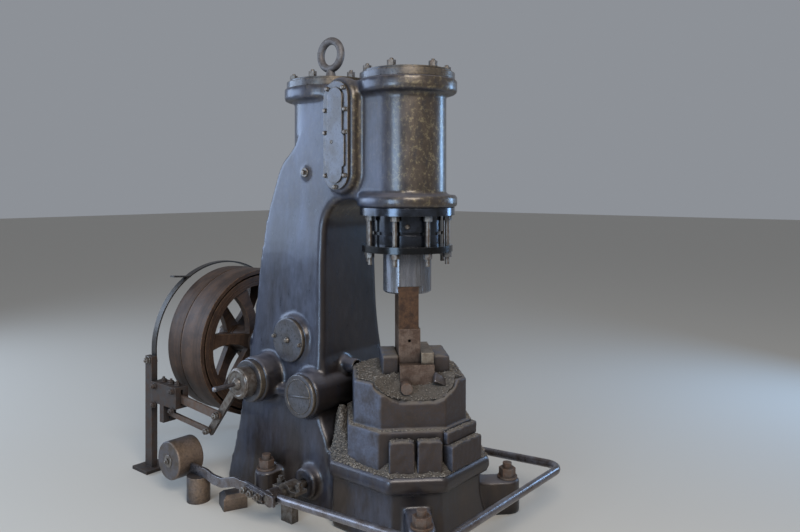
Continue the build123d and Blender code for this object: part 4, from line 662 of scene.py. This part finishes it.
# Bolts of the hoop: one of machine steel through each end of the strip and its post, with its nut and
# washer outside.
POST_OUTSIDE, POST_Y, BOLT_DROP = 0.4101, 1.205, 0.018
hoop_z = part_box("hoop_posts")[1].z - BOLT_DROP
joined([hex_head((side * POST_OUTSIDE, POST_Y, hoop_z), (side, 0, 0), 26, 13, washer=17, stud=6)
        for side in (-1, 1)])
piece("hoop_bolts", "frame", stud_steel)

# Bolt of the balance weight: machine steel, in a turned face. It clamps the weight to the lever bar, so
# that the weight can be set along it.
WEIGHT_Y, WEIGHT_Z = 0.872, 0.148
weight_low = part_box("balance_weight")[0]
joined([turned_boss((weight_low.x, WEIGHT_Y, WEIGHT_Z), LEFT, 26, [(0, 2), (2, 1.5)], sides=32),
        hex_head((weight_low.x - 0.003, WEIGHT_Y, WEIGHT_Z), LEFT, 22, 9, stud=7)])
piece("weight_clamp_bolt", "treadle", stud_steel)

# Clamp bolts of the treadle lever: three nuts of machine steel on studs through its fish plate, which
# stiffens the bar at its hub.
lever_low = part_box("treadle_lever")[0]
joined([hex_head((lever_low.x, y, z), LEFT, 24, 12, washer=14, stud=8, turn=y * 9)
        for y, z in ((0.345, 0.126), (0.385, 0.129), (0.424, 0.133))])
piece("fish_plate_bolts", "treadle", stud_steel)

# Forge scale: grey-black flakes and crumbs of burnt iron that fall from the work and are never swept
# out. They fill the pan round the anvil, rise in a slope against the column and lie on every ledge.
FOOT_TOP, FOOT_HALF = 0.405, 0.240
LOW_BAR_TOP, HIGH_BAR_TOP, WEDGE_TOP = 0.355, 0.400, 0.381
BED_STEP, BED_THICK = 0.005, 0.012
RISE_AT_ANVIL, RISE_AT_COLUMN, RISE_AT_DIES = 0.030, 0.150, 0.014


def to_dies(x, y):
    """A place in the frame of the machine as one across and along the dies."""
    return (x - y) * cos(DIE_ANGLE), (x + y) * sin(DIE_ANGLE)


def roughly(x, y, size):
    """Uneven height between -1 and 1, with lumps of a size in metres."""
    coarse = noise.noise(Vector((x / size, y / size, 3.7)))
    return coarse + 0.5 * noise.noise(Vector((x * 2.3 / size, y * 2.3 / size, 9.1)))


def pan_height(x, y):
    """Scale lies level with the rim, a little higher at the anvil, and slopes up to the column."""
    depth = pan_depth(x, y)
    level = RIM_TOP - 0.002 + RISE_AT_ANVIL * eased(depth, 0.010, 0.060) + 0.004 * roughly(x, y, 0.03)
    slope = RISE_AT_COLUMN * eased(y - x, 0.17, 0.44) * eased(y, 0.0, 0.20)
    return level + (slope + 0.010 * abs(roughly(x, y, 0.05))) * eased(depth, 0.004, 0.045)


def in_pan(x, y):
    """In the pan, and not on the foot of the anvil."""
    across, along = to_dies(x, y)
    on_foot = max(abs(across), abs(along)) < FOOT_HALF - 0.012 and abs(x) < 0.252 and y > -0.236
    return pan_depth(x, y) > 0.006 and not on_foot


def in_slope(x, y):
    """Where the scale rises against the column."""
    return in_pan(x, y) and y - x > 0.2 and x < -0.1


def anvil_floor(x, y):
    """Top of the anvil, or the bottom of the hollow that has broken out of its front."""
    across, along = to_dies(x, y)
    aside = (across - BREAK_CENTRE[0]) / BREAK_RADII[0]
    ahead = (along - BREAK_CENTRE[1]) / BREAK_RADII[1]
    away = aside ** 2 + ahead ** 2
    if away > 1:
        return ANVIL_TOP
    return min(BREAK_CENTRE[2] - BREAK_RADII[2] * (1 - away) ** 0.5, ANVIL_TOP)


def anvil_height(x, y):
    """Thin on the open top of the anvil and heaped against the neck that holds the dies."""
    across, along = to_dies(x, y)
    beside = max(abs(across - 0.025) - 0.130, 0)
    before = max(abs(along + 0.015) - 0.112, 0)
    heap = RISE_AT_DIES * max(1 - hypot(beside, before) / 0.06, 0)
    heap *= 0.75 + 0.5 * roughly(x, y, 0.035)
    return anvil_floor(x, y) + 0.004 + heap + 0.0045 * roughly(x, y, 0.02)


def in_block(x, y, margin):
    """Within the eight sides of the anvil's block, short of them by a margin."""
    across, along = to_dies(x, y)
    return (max(abs(across), abs(along)) < ANVIL_HALF - margin
            and abs(across) + abs(along) < 2 * ANVIL_HALF - ANVIL_CORNER - 1.4 * margin)


def on_anvil(x, y):
    """On the top of the anvil, short of its edge by an uneven strip."""
    return in_block(x, y, 0.013 + 0.006 * roughly(x, y, 0.03))


def on_ledge(x, y):
    """On the foot of the anvil, outside its block."""
    across, along = to_dies(x, y)
    on_foot = max(abs(across), abs(along)) < FOOT_HALF - 0.006 and abs(x) < 0.256 and y > -0.238
    return on_foot and not in_block(x, y, 0)


def on_wedges(x, y):
    """On the wedges, and not in the gap between them."""
    across, along = to_dies(x, y)
    return -0.280 < along < -0.243 and -0.090 < across < 0.096 and abs(across - 0.003) > 0.008


def scale_bed(name, height, inside, half):
    """A sheet of scale that follows a height, trimmed to its place and given a thickness below."""
    bpy.ops.object.select_all(action="DESELECT")
    cells = round(2 * half / BED_STEP)
    bpy.ops.mesh.primitive_grid_add(x_subdivisions=cells, y_subdivisions=cells, size=2 * half)
    bed = bpy.context.object
    bpy.ops.object.mode_set(mode="EDIT")
    bpy.ops.mesh.select_mode(type="VERT")
    bpy.ops.mesh.select_all(action="DESELECT")
    bpy.ops.object.mode_set(mode="OBJECT")
    for vertex in bed.data.vertices:
        vertex.co.z = height(vertex.co.x, vertex.co.y)
        vertex.select = not inside(vertex.co.x, vertex.co.y)
    bpy.ops.object.mode_set(mode="EDIT")
    bpy.ops.mesh.delete(type="VERT")
    bpy.ops.object.mode_set(mode="OBJECT")
    depth = bed.modifiers.new("depth", "SOLIDIFY")
    depth.thickness = BED_THICK
    depth.offset = -1
    bpy.ops.object.modifier_apply(modifier="depth")
    piece(name, "frame", scale_bed_iron, smooth_angle=80)


# Packed scale is matt and very uneven; its flakes are drawn 9 mm across, some of them coarser than real
# ones, so that they show.
# Its darkest colour is painted shade, with grime, in corners and between the crumbs.
scale_bed_iron = aged_metal("packed_forge_scale", "#5e5750", "#292420", "#8d857b", "#171412", patch_mm=9,
                            stain_share=0.5, metallic=0.1, oil=0.0, rough=(0.6, 0.85), dust_and_sheen="#6f675f",
                            dust_sheen_share=0.45, edge_mm=1.0, grit_mm=1.6, grit_depth_mm=0.9, wave_depth_mm=1.2,
                            shade_low=0.45, shade_high=1.5)
scale_bed("scale_in_pan", pan_height, in_pan, 0.300)
scale_bed("scale_on_anvil", anvil_height, on_anvil, 0.240)

# Loose crumbs: broken flakes of scale that nothing holds, paler than the bed because they are freshly
# broken and catch the dust. Six shapes are strewn over the bed and the ledges.
CRUMBS = (                            # how many, area, height, where, least and greatest radius
    (3300, (-0.29, 0.29, -0.29, 0.29), pan_height, in_pan, 0.0014, 0.0052),
    (1100, (-0.29, -0.1, 0.0, 0.29), pan_height, in_slope, 0.0016, 0.0060),
    (2900, (-0.25, 0.25, -0.25, 0.25), anvil_height, on_anvil, 0.0014, 0.0052),
    (1300, (-0.26, 0.26, -0.26, 0.26), lambda x, y: FOOT_TOP, on_ledge, 0.0016, 0.0052),
    (90, (-0.093, 0.093, -0.289, -0.271), lambda x, y: LOW_BAR_TOP, lambda x, y: True, 0.0015, 0.004),
    (110, (-0.093, 0.093, -0.267, -0.247), lambda x, y: HIGH_BAR_TOP, lambda x, y: True, 0.0015, 0.004),
    (110, (-0.27, -0.09, -0.28, -0.09), lambda x, y: WEDGE_TOP, on_wedges, 0.0015, 0.004),
)
STANDS = 0.3                          # of its radius, by which the middle of a crumb stands over the bed
# Its darkest colour is painted shade, with grime, where crumbs lie close.
crumb_iron = aged_metal("loose_forge_scale", "#958d84", "#3d3834", "#bdb4aa", "#1e1a17", patch_mm=11,
                        stain_share=0.5, metallic=0.2, oil=0.0, rough=(0.4, 0.75), dust_and_sheen="#a89f92",
                        dust_sheen_share=0.5, edge_mm=1.0, grit_mm=1.2, grit_depth_mm=0.2, wave_depth_mm=0.2,
                        shade_low=0.5, shade_high=1.5)
random.seed(12)
stones = []
for i in range(6):
    bpy.ops.object.select_all(action="DESELECT")
    bpy.ops.mesh.primitive_ico_sphere_add(subdivisions=1, radius=1)
    stone = bpy.context.object
    bpy.ops.object.mode_set(mode="EDIT")
    bpy.ops.mesh.select_all(action="SELECT")
    bpy.ops.transform.vertex_random(offset=0.45, seed=i)
    bpy.ops.transform.resize(value=(1.0, 0.75, 0.5))
    bpy.ops.object.mode_set(mode="OBJECT")
    stones.append(([vertex.co.copy() for vertex in stone.data.vertices],
                   [tuple(face.vertices) for face in stone.data.polygons]))
    bpy.data.objects.remove(stone)
crumbs = []
for count, (low_x, high_x, low_y, high_y), height, inside, least, greatest in CRUMBS:
    laid = 0
    while laid < count:
        x, y = random.uniform(low_x, high_x), random.uniform(low_y, high_y)
        if inside(x, y):
            radius = least + (greatest - least) * random.random() ** 2.5      # most of them are small
            crumbs.append((Vector((x, y, height(x, y) + radius * STANDS)), radius))
            laid += 1
vertices, faces = [], []
for place, radius in crumbs:
    shape, sides = random.choice(stones)
    turn = Matrix.Rotation(random.uniform(0, 2 * pi), 3, "Z")
    turn = turn @ Matrix.Rotation(random.uniform(-0.5, 0.5), 3, "X")
    start = len(vertices)
    vertices += [place + turn @ (corner * radius) for corner in shape]
    faces += [tuple(start + i for i in side) for side in sides]
crumb_mesh = bpy.data.meshes.new("scale_crumbs")
crumb_mesh.from_pydata(vertices, [], faces)
loose_scale = bpy.data.objects.new("scale_crumbs", crumb_mesh)
bpy.context.scene.collection.objects.link(loose_scale)
crumb_mesh.materials.append(crumb_iron)
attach(loose_scale, "frame")

# Offcut: a wedge-shaped piece of steel bar, cut off and left lying on the anvil. It is as bright as the
# bar it came from.
OFFCUT_SIZE, OFFCUT_TAPER = (0.050, 0.018, 0.042), 0.012
OFFCUT_PLACE, OFFCUT_HEIGHT = (0.110, -0.138), 0.566    # across and along the dies, and up
bpy.ops.object.select_all(action="DESELECT")
bpy.ops.mesh.primitive_cube_add(size=1)
offcut = bpy.context.object
offcut.scale = OFFCUT_SIZE
bpy.ops.object.transform_apply(scale=True)
for vertex in offcut.data.vertices:
    if vertex.co.z > 0 and vertex.co.x > 0:
        vertex.co.z -= OFFCUT_TAPER
edges = offcut.modifiers.new("edges", "BEVEL")
edges.width, edges.segments = 0.003, 2
bpy.ops.object.modifier_apply(modifier="edges")
offcut.location = (*in_die_frame(*OFFCUT_PLACE), OFFCUT_HEIGHT)
offcut.rotation_euler = (-0.7, 0.45, 0.25 - DIE_ANGLE)
piece("iron_offcut", "frame", treadle_steel)
